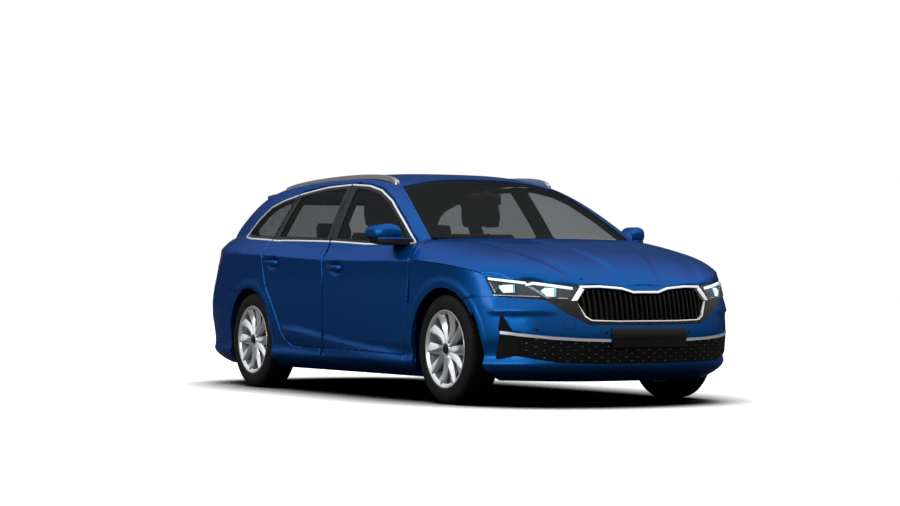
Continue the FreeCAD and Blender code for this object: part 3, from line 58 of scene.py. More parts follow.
# %% Small helpers for materials
def linear(chart):
    """A colour from a chart, such as #1f4a86, as the linear values of a shader."""
    values = [int(chart[i:i + 2], 16) / 255 for i in (1, 3, 5)]
    light = [v / 12.92 if v <= 0.04045 else ((v + 0.055) / 1.055) ** 2.4 for v in values]
    return (*light, 1.0)


def per_metre(size_mm):
    """The scale of a pattern whose marks have this size; Object coordinates are in metres."""
    return 1000.0 / size_mm


def add_node(tree, kind, sockets=None, **settings):
    """Adds a node, sets its settings, and fills or links its sockets."""
    node = tree.nodes.new("ShaderNode" + kind)
    for name, value in settings.items():
        setattr(node, name, value)
    for name, value in (sockets or {}).items():
        if isinstance(value, bpy.types.NodeSocket):
            tree.links.new(value, node.inputs[name])
        else:
            node.inputs[name].default_value = value
    return node


def new_finish(name, colour, roughness, **more):
    """A material with one shader; more holds its other sockets, with _ for a space."""
    material = bpy.data.materials.new(name)
    material.use_nodes = True
    tree = material.node_tree
    shader = tree.nodes["Principled BSDF"]
    shader.inputs["Base Color"].default_value = linear(colour)
    shader.inputs["Roughness"].default_value = roughness
    for key, value in more.items():
        shader.inputs[key.replace("_", " ").title().replace("Ior", "IOR")].default_value = value
    return material, tree, shader


def object_place(tree, scale=(1, 1, 1)):
    """Object coordinates through a Mapping node."""
    place = add_node(tree, "TexCoord")
    return add_node(tree, "Mapping", {"Vector": place.outputs["Object"], "Scale": scale}).outputs["Vector"]


def mottle(tree, shader, dark, pale, size_mm, detail=4):
    """Slow colour changes over a surface, between two chart colours."""
    noise = add_node(tree, "TexNoise",
                     {"Vector": object_place(tree), "Scale": per_metre(size_mm), "Detail": detail})
    ramp = add_node(tree, "ValToRGB", {"Fac": noise.outputs["Fac"]})
    for element, colour, share in zip(ramp.color_ramp.elements, (dark, pale), (0.35, 0.65)):
        element.color = linear(colour)
        element.position = share
    tree.links.new(ramp.outputs["Color"], shader.inputs["Base Color"])
    return ramp


def grain(tree, shader, size_mm, depth_mm, stretch=(1, 1, 1)):
    """Fine relief, such as moulded grain or brushing."""
    noise = add_node(tree, "TexNoise",
                     {"Vector": object_place(tree, stretch), "Scale": per_metre(size_mm), "Detail": 3})
    bump = add_node(tree, "Bump",
                    {"Height": noise.outputs["Fac"], "Distance": depth_mm / 1000, "Strength": 0.6})
    tree.links.new(bump.outputs["Normal"], shader.inputs["Normal"])


def finish(name, colour, roughness, spots=None, relief=None, **more):
    """A ready material: spots holds what mottle wants, and relief what grain wants."""
    material, tree, shader = new_finish(name, colour, roughness, **more)
    if spots:
        mottle(tree, shader, *spots)
    if relief:
        grain(tree, shader, *relief)
    return material


print("helpers for materials ready")

# %% [markdown]
# The window frames of the doors are gloss black, while the doors are blue. They could be pieces of
# their own, but a border cut into the mesh would need its own edges. Here the border is a line over x:
# a Float Curve holds its height, and a comparison with z picks black or blue, so that the border is
# sharp whatever the mesh is.

# %% Height curves for the black window band
BAND_TOP = [
    (-1.60, 1.05), (-1.53, 1.08), (-1.413, 1.182), (-1.283, 1.258), (-1.11, 1.299), (-0.842, 1.335),
    (-0.491, 1.366), (-0.143, 1.37), (0.111, 1.353), (0.301, 1.317), (0.507, 1.244), (0.769, 1.108),
    (1.02, 0.962),
]
BAND_LOW = [
    (-1.60, 1.06), (-1.523, 1.075), (-1.449, 1.043), (-1.344, 1.028), (-0.9, 1.012), (0.0, 0.989),
    (0.434, 0.969), (1.02, 0.955),
]
BAND_BACK = -1.56
CURVE_START, CURVE_END = -1.7, 1.2
CURVE_LOW, CURVE_HIGH = 0.9, 1.5


def height_curve(tree, along, points):
    """A Float Curve that gives a height in metres over x, from (x, z) points."""
    share = add_node(tree, "MapRange", {"Value": along, "From Min": CURVE_START, "From Max": CURVE_END})
    curve = add_node(tree, "FloatCurve", {"Value": share.outputs["Result"]})
    line = curve.mapping.curves[0]
    span, rise = CURVE_END - CURVE_START, CURVE_HIGH - CURVE_LOW
    spots = [((x - CURVE_START) / span, (z - CURVE_LOW) / rise) for x, z in points]
    line.points[0].location = (0.0, spots[0][1])
    line.points[1].location = (1.0, spots[-1][1])
    for spot in spots:
        line.points.new(*spot)
    for point in line.points:
        point.handle_type = "VECTOR"
    curve.mapping.update()
    back = add_node(tree, "MapRange",
                    {"Value": curve.outputs["Value"], "To Min": CURVE_LOW, "To Max": CURVE_HIGH})
    return back.outputs["Result"]


def band_share(tree):
    """1 on the black window band and 0 on the blue."""
    place = add_node(tree, "SeparateXYZ", {"Vector": object_place(tree)})
    top = height_curve(tree, place.outputs["X"], BAND_TOP)
    low = height_curve(tree, place.outputs["X"], BAND_LOW)
    under = add_node(tree, "Math", {0: top, 1: place.outputs["Z"]}, operation="GREATER_THAN")
    over = add_node(tree, "Math", {0: place.outputs["Z"], 1: low}, operation="GREATER_THAN")
    ahead = add_node(tree, "Math", {0: place.outputs["X"], 1: BAND_BACK}, operation="GREATER_THAN")
    one = add_node(tree, "Math", {0: under.outputs[0], 1: over.outputs[0]}, operation="MULTIPLY")
    return add_node(tree, "Math", {0: one.outputs[0], 1: ahead.outputs[0]}, operation="MULTIPLY").outputs[0]


# %% [markdown]
# Car paint is sprayed in layers: flakes of aluminium in a blue base, then a clear coat. A plain blue
# plastic would stay bright all round. The base here is nearly all metal, so it darkens where it turns
# away from the light, as the doors do below their shoulder. The flakes are only hundredths of a
# millimetre, too fine to show, so they are drawn at 0.6 mm. The clear coat is kept weak, because a
# white studio in a full coat would wash out the blue.

# %% Car paint
PAINT_METAL, PAINT_COAT, PAINT_SPECULAR = 0.9, 0.22, 0.5
FRAME_METAL, FRAME_COAT, FRAME_SPECULAR = 0.0, 0.05, 0.15


def blue_paint(name, with_band):
    """The paint of the body; with_band blackens the window frames."""
    material, tree, shader = new_finish(
        name, "#0052a0", 0.34, metallic=PAINT_METAL, specular_tint=linear("#6aa2d8"), coat_weight=PAINT_COAT,
        coat_roughness=0.08, coat_ior=1.35
    )
    ramp = mottle(tree, shader, "#0b4f94", "#0d569e", 1.111, 1)
    flakes = add_node(tree, "TexVoronoi", {"Vector": object_place(tree), "Scale": per_metre(0.625)})
    bump = add_node(tree, "Bump",
                    {"Height": flakes.outputs["Distance"], "Distance": 0.0002, "Strength": 0.05})
    tree.links.new(bump.outputs["Normal"], shader.inputs["Normal"])
    if with_band:
        share = band_share(tree)
        mix = add_node(tree, "Mix", {0: share, 6: ramp.outputs["Color"], 7: linear("#050506")},
                       data_type="RGBA")
        tree.links.new(mix.outputs[2], shader.inputs["Base Color"])
        for socket, blue, black in (
            ("Metallic", PAINT_METAL, FRAME_METAL), ("Coat Weight", PAINT_COAT, FRAME_COAT),
            ("Specular IOR Level", PAINT_SPECULAR, FRAME_SPECULAR),
        ):
            level = add_node(tree, "MapRange", {"Value": share, "To Min": blue, "To Max": black})
            tree.links.new(level.outputs["Result"], shader.inputs[socket])
    return material


paint = blue_paint("blue_paint", False)
band_paint = blue_paint("blue_paint_and_black_frames", True)
print("paint ready")

# %% [markdown]
# Glass is tinted. A Glass shader in a thin pane bends nothing that matters, so a pane here is a mix of
# see-through and gloss: light passes in a straight line, which renders fast and clean. Fresnel on the
# back of a face would give total reflection, so it only counts on the front.

# %% Glass
def window_glass(name, tint, gloss):
    """A pane that lets light pass in its tint and mirrors more at a flat angle."""
    material = bpy.data.materials.new(name)
    material.use_nodes = True
    tree = material.node_tree
    tree.nodes.clear()
    clear = add_node(tree, "BsdfTransparent", {"Color": linear(tint)})
    shine = add_node(tree, "BsdfGlossy", {"Color": linear(gloss), "Roughness": 0.02})
    rim = add_node(tree, "Fresnel", {"IOR": 1.5})
    side = add_node(tree, "NewGeometry")
    front = add_node(tree, "Math", {0: 1.0, 1: side.outputs["Backfacing"]}, operation="SUBTRACT")
    share = add_node(tree, "Math", {0: rim.outputs[0], 1: front.outputs[0]}, operation="MULTIPLY")
    mix = add_node(tree, "MixShader", {0: share.outputs[0], 1: clear.outputs[0], 2: shine.outputs[0]})
    add_node(tree, "OutputMaterial", {"Surface": mix.outputs[0]})
    return material


# Tempered side glass, slightly grey, so the cabin shows darker through it.
side_glass = window_glass("tinted_side_glass", "#d2d4d4", "#707274")
# Privacy glass behind the front doors, one step darker.
rear_glass = window_glass("dark_rear_glass", "#c4c6c6", "#707274")
# Laminated windscreen, the clearest of the three.
front_glass = window_glass("windscreen_glass", "#d4d6d6", "#707274")
# Moulded polycarbonate over the lamps: clear, with a full shine.
lens_glass = window_glass("lamp_lens", "#e8edf0", "#ffffff")
print("glass ready")

# %% [markdown]
# The other finishes start from what the real surface is and from typical values for it. Each has a
# dark and a pale tone and often a fine relief, so that no face is one flat colour. Grains finer than a
# millimetre are drawn at about one millimetre, because nothing finer would show.

# %% Chrome and other metals
# Chrome on plastic with a satin grade: soft bands of the studio, so the window line reads silver.
satin_chrome = finish("satin_chrome", "#eff1f3", 0.3, metallic=0.7)
# Bright chrome on plastic: the sharpest light line on the nose.
bright_chrome = finish("bright_chrome", "#ffffff", 0.16, metallic=0.75)
# Anodised aluminium, brushed along the rail: a grey with streaks over its length.
rail_metal = finish("rail_aluminium", "#c9ccd0", 0.3, relief=(16.67, 0.2, (1, 40, 40)), metallic=1.0)
# Cast aluminium under silver lacquer: flakes break the light into a grainy silver.
alloy = finish("silver_alloy", "#dcdee1", 0.28, ("#d6d8db", "#e4e6e8", 1.429, 1), metallic=0.85,
               coat_weight=0.5)
# Zinc-coated steel and raw castings: a dull, cloudy grey.
dull_alloy = finish("wheel_well_metal", "#6f7276", 0.4, ("#5e6165", "#7c7f83", 25), metallic=0.9)
# A turned brake disc: a grey whose fine rings catch the light.
brake_steel = finish("brake_steel", "#8a8a8a", 0.35, relief=(3.333, 0.2, (1, 0.1, 1)), metallic=1.0)
# Silvered glass: a near-perfect mirror.
mirror_glass = finish("mirror_glass", "#e6e9ec", 0.02, metallic=1.0)

# %% Plastics, rubber and cloth
# Polished black ABS: deep black with a faint mirror of the studio.
gloss_black = finish("gloss_black", "#030304", 0.08, ("#020203", "#040405", 33.33), coat_weight=0.15,
                     specular_ior_level=0.35)
# Moulded polypropylene with a leather grain: black that turns grey only at a flat angle.
black_plastic = finish("grained_black_plastic", "#0e0e10", 0.42, ("#0b0b0d", "#121214", 71.43), (0.714, 0.3),
                       specular_ior_level=0.2)
# Soft foam-backed skin of the cabin: matt and a little paler.
cabin_plastic = finish("cabin_plastic", "#1b1b1d", 0.6, ("#18181a", "#202023", 111.1), (0.909, 0.4),
                       specular_ior_level=0.15)
# Woven polyester: matt, with a pale bloom of its fibres at the edges.
seat_cloth = finish("seat_cloth", "#1c1d20", 0.92, ("#17181b", "#24262a", 3.846), (1.111, 0.6),
                    sheen_weight=0.35)
# Vulcanised rubber: a dry, warm black.
tyre_rubber = finish("tyre_rubber", "#0d0d0e", 0.62, ("#0a0a0b", "#131314", 25), (0.625, 0.2),
                     specular_ior_level=0.15)
# Sprayed stone guard: rough and black, so that the underside stays dark.
underbody = finish("underbody_black", "#0a0a0b", 0.7, ("#070708", "#101012", 166.7), (4.545, 1.0),
                   specular_ior_level=0.1)

# %% Lamp finishes
# Metallised plastic inside the headlamp: a half-bright grey behind the lens.
lamp_housing = finish("lamp_housing", "#3a3c3f", 0.3, ("#2c2e31", "#4a4d50", 16.67), metallic=0.5)
# Light guides and modules that are switched on: a cold white, just above the paper white.
lamp_light = finish("lamp_light", "#f4fbff", 0.2, emission_color=linear("#e9f8ff"), emission_strength=1.1)
# The edge of a lens, where the light splits into a pale cyan.
lamp_tint = finish("lamp_tint", "#9fe6ef", 0.2, emission_color=linear("#8fe0ea"), emission_strength=0.5)
# Moulded red acrylic: a clear deep red under a full gloss.
red_lens = finish("red_lens", "#8c0d10", 0.08, coat_weight=1.0, transmission_weight=0.25)
# The red light guides behind it: brighter than the lens.
red_light = finish("red_light", "#d8262a", 0.3, emission_color=linear("#c81c20"), emission_strength=0.35)
print("materials", len(bpy.data.materials))

# %% [markdown]
# A node from the model is loose triangles. It could be painted as it is, but then every face would
# show. A copy is merged, gets more edges where it is pressed into a crease, and then its corners are
# sharp and the rest smooth. A weighted normal keeps wide faces calm.

# %% Helpers for pieces
body_of_node = {}
for body, members in frame["record"]["behaviour"]["bodies"].items():
    for member in members:
        body_of_node[member] = body


def link_new(name, data):
    """A new object in the scene, at the origin."""
    made = bpy.data.objects.new(name, data)
    bpy.context.scene.collection.objects.link(made)
    return made


def new_mesh(name, work):
    """Turns a bmesh into a mesh and lets it go."""
    mesh = bpy.data.meshes.new(name)
    work.to_mesh(mesh)
    work.free()
    return mesh


def finish_piece(name, work, materials, body, smooth=35.0, recalculate=True):
    """Turns a bmesh into a named piece that rides on a body; an edge over smooth degrees stays sharp."""
    if recalculate:
        bmesh.ops.recalc_face_normals(work, faces=work.faces)
    mesh = new_mesh(name, work)
    for item in materials if isinstance(materials, (list, tuple)) else [materials]:
        mesh.materials.append(item)
    piece = link_new(name, mesh)
    mesh.polygons.foreach_set("use_smooth", [True] * len(mesh.polygons))
    mesh.set_sharp_from_angle(angle=math.radians(smooth))
    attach(piece, body)
    return piece


def merged_copy(node):
    """The triangles of a model node as a merged bmesh."""
    work = bmesh.new()
    work.from_mesh(nodes[node].data)
    bmesh.ops.remove_doubles(work, verts=work.verts, dist=0.00002)
    bmesh.ops.dissolve_degenerate(work, dist=0.00001, edges=work.edges)
    return work


def outward(face):
    """True for a face on the outside of the car."""
    middle = face.calc_center_median()
    away = Vector((middle.x * 0.12, middle.y * 1.2, (middle.z - 0.75) * 0.9))
    return face.normal.dot(away.normalized()) > 0.1


def cut_long(work, edges):
    """Halves these edges and leaves triangles."""
    bmesh.ops.subdivide_edges(work, edges=edges, cuts=1)
    bmesh.ops.triangulate(work, faces=[face for face in work.faces if len(face.verts) > 3])


def refine(work, length, wanted=None):
    """Cuts long edges of outer faces until they are shorter than a length."""
    for _ in range(7):
        long_edges = [
            edge for edge in work.edges
            if edge.calc_length() > length and any(outward(face) for face in edge.link_faces)
            and (wanted is None or wanted((edge.verts[0].co + edge.verts[1].co) / 2))
        ]
        if not long_edges:
            break
        cut_long(work, long_edges)


def press_skin(work, press):
    """Moves the outer corners along their normals by what press says for each place."""
    moves = []
    for vertex in work.verts:
        faces = [face for face in vertex.link_faces if outward(face)]
        if faces:
            normal = sum((face.normal for face in faces), Vector()).normalized()
            moves.append((vertex, normal * press(vertex.co)))
    for vertex, move in moves:
        vertex.co += move


def dress(node, material, press=None, length=0.03, wanted=None, lined=None):
    """A smooth piece that stands for a model node; press shapes it, and lined faces are cabin plastic."""
    work = merged_copy(node)
    if press:
        refine(work, length, wanted)
        work.normal_update()
        press_skin(work, press)
    if lined:
        work.normal_update()
        for face in work.faces:
            if lined(face):
                face.material_index = 1
    piece = finish_piece(node + "_panel", work, [material, cabin_plastic] if lined else material,
                         body_of_node[node], 30.0, recalculate=False)
    modifier = piece.modifiers.new("calm_normals", "WEIGHTED_NORMAL")
    modifier.keep_sharp = True
    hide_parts(node)
    return piece


def between(low, high, value):
    """A smooth step from 0 to 1."""
    share = min(max((value - low) / (high - low), 0.0), 1.0)
    return share * share * (3 - 2 * share)


def along_line(points, place):
    """Straight-line interpolation of (place, value) pairs that run upwards."""
    if place <= points[0][0]:
        return points[0][1]
    for (x0, v0), (x1, v1) in zip(points, points[1:]):
        if place <= x1:
            return v0 + (v1 - v0) * (place - x0) / (x1 - x0)
    return points[-1][1]


print("nodes with a body", len(body_of_node))

# %% [markdown]
# The press lines: a flange round each wheel arch, a long crease low on the doors that runs down
# towards the front, a bowl behind each door handle, folds on the bonnet, and a ledge under the
# headlamps. They could be a bump in the paint, but then the outline and the light on them would be
# wrong. Each is a small move along the surface's normal, in metres.

# %% Relief of the flanks
FRONT_AXLE, REAR_AXLE, AXLE_HEIGHT = 1.4645, -1.2215, 0.328
ARCHES = ((FRONT_AXLE, 0.365), (REAR_AXLE, 0.352))
FLANGE_EDGE, FLANGE_RISE = 0.002, 0.0035
DOOR_CREASE = [
    (-0.70, 0.447), (-0.643, 0.444), (-0.418, 0.435), (0.009, 0.390), (0.417, 0.353), (0.96, 0.318),
]
CREASE_DEPTH = 0.016
HANDLES = [(0.112, 0.818), (-0.822, 0.857)]
BOWL_LENGTH, BOWL_HEIGHT, BOWL_DEPTH = 0.105, 0.05, 0.014
FLANK = 0.6


def arch_flange(place):
    """How far the flange round a wheel arch stands out."""
    height = 0.0
    for axle, radius in ARCHES:
        reach = math.hypot(place.x - axle, place.z - AXLE_HEIGHT) - radius
        if -0.02 < reach < 0.1 and place.z > 0.2:
            rise = FLANGE_EDGE + FLANGE_RISE * between(0.0, 0.04, reach)
            height += rise * (1 - between(0.043, 0.060, reach))
    return height


def side_relief(place):
    """The relief of doors, fenders and rear quarters."""
    if abs(place.y) < FLANK:
        return 0.0
    height = arch_flange(place)
    over = place.z - along_line(DOOR_CREASE, place.x)
    ends = between(-0.86, -0.5, place.x) * (1 - between(0.72, 1.0, place.x))
    if -0.16 < over < 0:
        height += CREASE_DEPTH * ends * between(0.0, 0.045, -over) * (1 - between(0.06, 0.16, -over))
    for x, z in HANDLES:
        reach = math.hypot((place.x - x) / BOWL_LENGTH, (place.z - z) / BOWL_HEIGHT)
        if reach < 1:
            height -= BOWL_DEPTH * (1 - reach * reach)
    return height


def low_on_flank(place):
    """True below the windows of a flank, where the press lines are."""
    return abs(place.y) > FLANK and place.z < 0.93


def faces_cabin(face):
    """True for the inner face of a door or a flank."""
    middle = face.calc_center_median()
    return face.normal.y * math.copysign(1.0, middle.y) < -0.4 and abs(middle.y) > 0.45


# %% Relief of the nose
LEDGE_HEIGHT, LEDGE_WIDTH, LEDGE_FALL, LEDGE_DEPTH = 0.552, 0.085, 0.016, 0.013
NOSE_MIDDLE, PLATE_SEAT = 0.48, 2.3393
INNER_FOLD = [(1.1, 0.235), (1.6, 0.21), (1.85, 0.19), (2.07, 0.15), (2.19, 0.115), (2.27, 0.085)]
OUTER_FOLD = [(1.1, 0.64), (1.65, 0.585), (1.85, 0.56), (1.99, 0.53), (2.225, 0.44)]
INNER_RISE, OUTER_SINK = 0.008, 0.007


def bumper_relief(place):
    """The relief of the front bumper: the arch, a ledge with a sharp fold, and the plate's flat seat."""
    across = abs(place.y)
    if across < NOSE_MIDDLE:
        return min(PLATE_SEAT - place.x, 0.0) if 0.38 < place.z < 0.46 else 0.0
    height = 0.4 * arch_flange(place)
    over = place.z - LEDGE_HEIGHT
    ends = between(0.52, 0.72, across) * between(1.88, 2.0, place.x)
    if 0 <= over < LEDGE_WIDTH:
        height += LEDGE_DEPTH * ends * (1 - over / LEDGE_WIDTH)
    elif -LEDGE_FALL < over < 0:
        height += LEDGE_DEPTH * ends * (1 + over / LEDGE_FALL)
    return height


def bonnet_relief(place):
    """The relief of the bonnet: a raised middle and two outer folds."""
    across = abs(place.y)
    ends = between(1.15, 1.5, place.x)
    inner = along_line(INNER_FOLD, place.x)
    outer = along_line(OUTER_FOLD, place.x)
    height = INNER_RISE * ends * (1 - between(inner - 0.004, inner + 0.045, across))
    sink = between(outer - 0.12, outer, across) * (1 - between(outer, outer + 0.022, across))
    return height - OUTER_SINK * ends * sink


# %% Dress the panels
for side in ("right", "left"):
    dress(f"body_side_{side}", band_paint, side_relief, 0.035, low_on_flank, faces_cabin)
    dress(f"fender_{side}", paint, side_relief, 0.03, low_on_flank)
    dress(f"door_front_{side}", band_paint, side_relief, 0.026, low_on_flank, faces_cabin)
    dress(f"door_rear_{side}", band_paint, side_relief, 0.026, low_on_flank, faces_cabin)
    dress(f"glass_front_{side}", side_glass)
    dress(f"glass_rear_{side}", rear_glass)
dress("bonnet", paint, bonnet_relief, 0.03)
dress("roof_panel", paint, lined=lambda face: face.normal.z < -0.4)
dress("tailgate", paint, lined=lambda face: face.normal.x > 0.4 and face.calc_center_median().z < 1.36)
dress("front_bumper", paint, bumper_relief, 0.02,
      lambda place: abs(place.y) > NOSE_MIDDLE and 0.2 < place.z < 0.7)
dress("rear_bumper", paint, lambda place: arch_flange(place) if abs(place.y) > FLANK else 0.0, 0.03,
      low_on_flank)
PLAIN_PANELS = {
    "windscreen": front_glass, "quarter_glass": rear_glass, "tailgate_glass": rear_glass,
    "grilles": black_plastic, "roof_rails": rail_metal, "tail_lamps": red_lens, "tailgate_lamps": red_lens,
}
for node, material in PLAIN_PANELS.items():
    dress(node, material)
print("panels dressed")

# %% [markdown]
# The tyre is moulded rubber with grooves in its tread. A torus would be too round, so its real section
# is spun round the axle. Slots across its shoulders are inset faces pushed in. One wheel is built at
# the origin, and the others are copies of it.

# %% Section helpers for the wheel
def spin_section(work, points, steps):
    """Spins a closed section of (offset, radius) points into a ring; the axle is Y."""
    ring = [work.verts.new((0, offset, radius)) for offset, radius in points]
    loop = [work.edges.new((ring[i], ring[(i + 1) % len(ring)])) for i in range(len(ring))]
    bmesh.ops.spin(work, geom=ring + loop, cent=(0, 0, 0), axis=(0, 1, 0), angle=2 * math.pi, steps=steps,
                   use_merge=True, use_duplicate=False)
    bmesh.ops.remove_doubles(work, verts=work.verts, dist=0.00001)


TREAD_GROOVES = [-0.055, -0.0195, 0.0195, 0.055]
GROOVE_TOP, GROOVE_FLOOR, GROOVE_DEPTH = 0.0045, 0.0035, 0.0068
TYRE_WALL = [
    (0.0925, 0.2165), (0.0930, 0.2290), (0.0955, 0.2350), (0.0990, 0.2400), (0.1002, 0.2430),
    (0.1012, 0.2520),
    (0.1023, 0.2660), (0.1022, 0.2800), (0.1004, 0.2940), (0.0972, 0.3060), (0.0918, 0.3160),
    (0.0850, 0.3215),
    (0.0760, 0.3250),
]
TYRE_INSIDE = [
    (0.080, 0.2165), (0.084, 0.2500), (0.070, 0.3050), (0.0, 0.3130), (-0.070, 0.3050), (-0.084, 0.2500),
    (-0.080, 0.2165),
]


def tyre_section():
    """One wall, the tread with its grooves, the other wall, and the inside."""
    points = [(-offset, radius) for offset, radius in TYRE_WALL]
    for middle in TREAD_GROOVES:
        crown = 0.3278 - 0.3 * middle * middle
        points += [(middle - GROOVE_TOP, crown), (middle - GROOVE_FLOOR, crown - GROOVE_DEPTH),
                   (middle + GROOVE_FLOOR, crown - GROOVE_DEPTH), (middle + GROOVE_TOP, crown)]
    return points + TYRE_WALL[::-1] + TYRE_INSIDE


# %% The tyre
SLOT_PITCH = 6.0
tyre_mesh = bmesh.new()
spin_section(tyre_mesh, tyre_section(), 240)
bmesh.ops.recalc_face_normals(tyre_mesh, faces=tyre_mesh.faces)
slots = []
for face in tyre_mesh.faces:
    middle = face.calc_center_median()
    radius = math.hypot(middle.x, middle.z)
    turn = math.degrees(math.atan2(middle.z, middle.x)) % SLOT_PITCH
    on_shoulder = radius > 0.3225 and 0.061 < abs(middle.y) < 0.091 and turn < 1.5
    on_tread = radius > 0.3265 and 0.025 < abs(middle.y) < 0.05 and 3.0 < turn < 4.5
    if on_shoulder or on_tread:
        slots.append(face)
bmesh.ops.inset_individual(tyre_mesh, faces=slots, thickness=0.0014, depth=-0.005)
print("tyre slots", len(slots))

# %% [markdown]
# The rim is one casting, turned on a lathe where it is round. So its barrel and hub are spun sections
# too, and so are the cap and the brake disc behind it. The cap stays bare.

# %% The rim's barrel, hub and brake disc
rim_mesh = bmesh.new()
spin_section(rim_mesh, [
    (-0.0925, 0.2157), (-0.0950, 0.2230), (-0.0962, 0.2322), (-0.0975, 0.2335), (-0.0985, 0.2322),
    (-0.0984, 0.2275),
    (-0.0965, 0.2225), (-0.0925, 0.2165), (-0.0900, 0.2120), (-0.0850, 0.2075), (-0.0600, 0.2060),
    (-0.0300, 0.1920),
    (0.0400, 0.1920), (0.0600, 0.2060), (0.0930, 0.2070), (0.0970, 0.2310), (0.0960, 0.2328),
    (0.0925, 0.2157),
    (0.0600, 0.2100), (0.0300, 0.1960), (-0.0300, 0.1960), (-0.0600, 0.2100),
], 120)
spin_section(rim_mesh, [
    (-0.0880, 0.0315), (-0.0905, 0.0345), (-0.0885, 0.0400), (-0.0800, 0.0470), (-0.0745, 0.0600),
    (-0.0720, 0.0740),
    (-0.0500, 0.0760), (-0.0480, 0.0400), (-0.0480, 0.0200), (-0.0870, 0.0200),
], 80)
cap_mesh = bmesh.new()
spin_section(cap_mesh, [
    (-0.0870, 0.0003), (-0.0955, 0.0003), (-0.0958, 0.0200), (-0.0945, 0.0285), (-0.0900, 0.0312),
    (-0.0870, 0.0312),
], 64)
disc_mesh = bmesh.new()
spin_section(disc_mesh, [
    (0.002, 0.1435), (0.010, 0.1440), (0.010, 0.1380), (0.018, 0.1380), (0.018, 0.1440), (0.0255, 0.1435),
    (0.0255, 0.0850), (0.006, 0.0780), (-0.036, 0.0760), (-0.040, 0.0700), (-0.040, 0.0200), (-0.034, 0.0200),
    (-0.034, 0.0690), (0.002, 0.0800),
], 96)
print("rim corners", len(rim_mesh.verts))

# %% [markdown]
# The rim's face is five pairs of spokes. Each spoke has a ridge that wanders from one edge to the
# other, so that its two facets catch the light differently. It starts as one loop of edges at the hub
# and is extruded outwards, station by station, because the loop can then turn and widen on its way.

# %% The spokes
# A station: radius, swing in degrees, half width, ridge as a share of it, depths of ridge, edge and back.
SPOKE_STATIONS = [
    (0.038, 18.0, 0.0150, 0.75, -0.0905, -0.0830, -0.055),
    (0.062, 17.0, 0.0205, 0.60, -0.0880, -0.0770, -0.050),
    (0.095, 15.2, 0.0262, 0.35, -0.0855, -0.0700, -0.046),
    (0.125, 15.6, 0.0300, 0.05, -0.0850, -0.0680, -0.046),
    (0.155, 17.2, 0.0312, -0.25, -0.0870, -0.0700, -0.050),
    (0.185, 18.6, 0.0322, -0.55, -0.0910, -0.0750, -0.056),
    (0.2180, 19.4, 0.0340, -0.80, -0.0960, -0.0860, -0.062),
]
PAIRS = 5
PAIR_STEP = 360 / PAIRS


def spoke_ring(station, lean):
    """The six corners of a spoke's section: left edge, ridge, right edge and three at the back."""
    radius, swing, half, ridge, top, edge, back = station
    section = [(-half, edge), (ridge * half, top), (half, edge), (0.82 * half, back), (0.0, back + 0.004),
               (-0.82 * half, back)]
    turn = math.radians(lean * swing)
    cos, sin = math.cos(turn), math.sin(turn)
    return [Vector((cos * side + sin * radius, depth, cos * radius - sin * side)) for side, depth in section]


def add_spoke(work, lean, pair_turn):
    """One spoke, extruded from its root through its stations, then turned to its pair's place."""
    start = [work.verts.new(spot) for spot in spoke_ring(SPOKE_STATIONS[0], lean)]
    edges = [work.edges.new((start[i], start[(i + 1) % 6])) for i in range(6)]
    made = list(start)
    for station in SPOKE_STATIONS[1:]:
        result = bmesh.ops.extrude_edge_only(work, edges=edges)["geom"]
        fresh = [item for item in result if isinstance(item, bmesh.types.BMVert)]
        edges = [item for item in result if isinstance(item, bmesh.types.BMEdge)
                 and all(vertex in fresh for vertex in item.verts)]
        spots = spoke_ring(station, lean)
        corner_of = {}
        for vertex in fresh:
            others = [edge.other_vert(vertex) for edge in vertex.link_edges]
            old = [other for other in others if other in made][0]
            corner_of[vertex] = made.index(old) % 6
        for vertex in fresh:
            vertex.co = spots[corner_of[vertex]]
        made += sorted(fresh, key=lambda vertex: corner_of[vertex])
    bmesh.ops.holes_fill(work, edges=[edge for edge in work.edges if edge.is_boundary], sides=0)
    bmesh.ops.rotate(work, verts=made, cent=(0, 0, 0), matrix=Matrix.Rotation(pair_turn, 3, "Y"))


spoke_mesh = bmesh.new()
for pair in range(PAIRS):
    for lean in (-1, 1):
        add_spoke(spoke_mesh, lean, math.radians(180 + PAIR_STEP * pair))
bmesh.ops.recalc_face_normals(spoke_mesh, faces=spoke_mesh.faces)
bmesh.ops.bevel(spoke_mesh, geom=[edge for edge in spoke_mesh.edges if edge.calc_face_angle(0) > 0.5],
                offset=0.0011, segments=2, profile=0.5, affect="EDGES", material=-1)
print("spoke faces", len(spoke_mesh.faces))

# %% Bolts in their pockets
BOLT_CIRCLE = 0.0575
bolt_mesh = bmesh.new()
pocket_mesh = bmesh.new()
for pair in range(PAIRS):
    turn = math.radians(PAIR_STEP * pair)
    spot = Vector((BOLT_CIRCLE * math.sin(turn), 0, BOLT_CIRCLE * math.cos(turn)))
    upright = Matrix.Rotation(math.pi / 2, 4, "X")
    seat = Matrix.Translation(spot + Vector((0, -0.070, 0))) @ upright
    bmesh.ops.create_cone(bolt_mesh, cap_ends=True, segments=6, radius1=0.0085, radius2=0.0080, depth=0.014,
                          matrix=seat)
    seat = Matrix.Translation(spot + Vector((0, -0.0745, 0))) @ upright
    bmesh.ops.create_circle(pocket_mesh, cap_ends=True, segments=24, radius=0.0128, matrix=seat)
solid = bmesh.ops.extrude_face_region(pocket_mesh, geom=list(pocket_mesh.faces))["geom"]
walls = [item for item in solid if isinstance(item, bmesh.types.BMVert)]
bmesh.ops.translate(pocket_mesh, verts=walls, vec=(0, 0.012, 0))

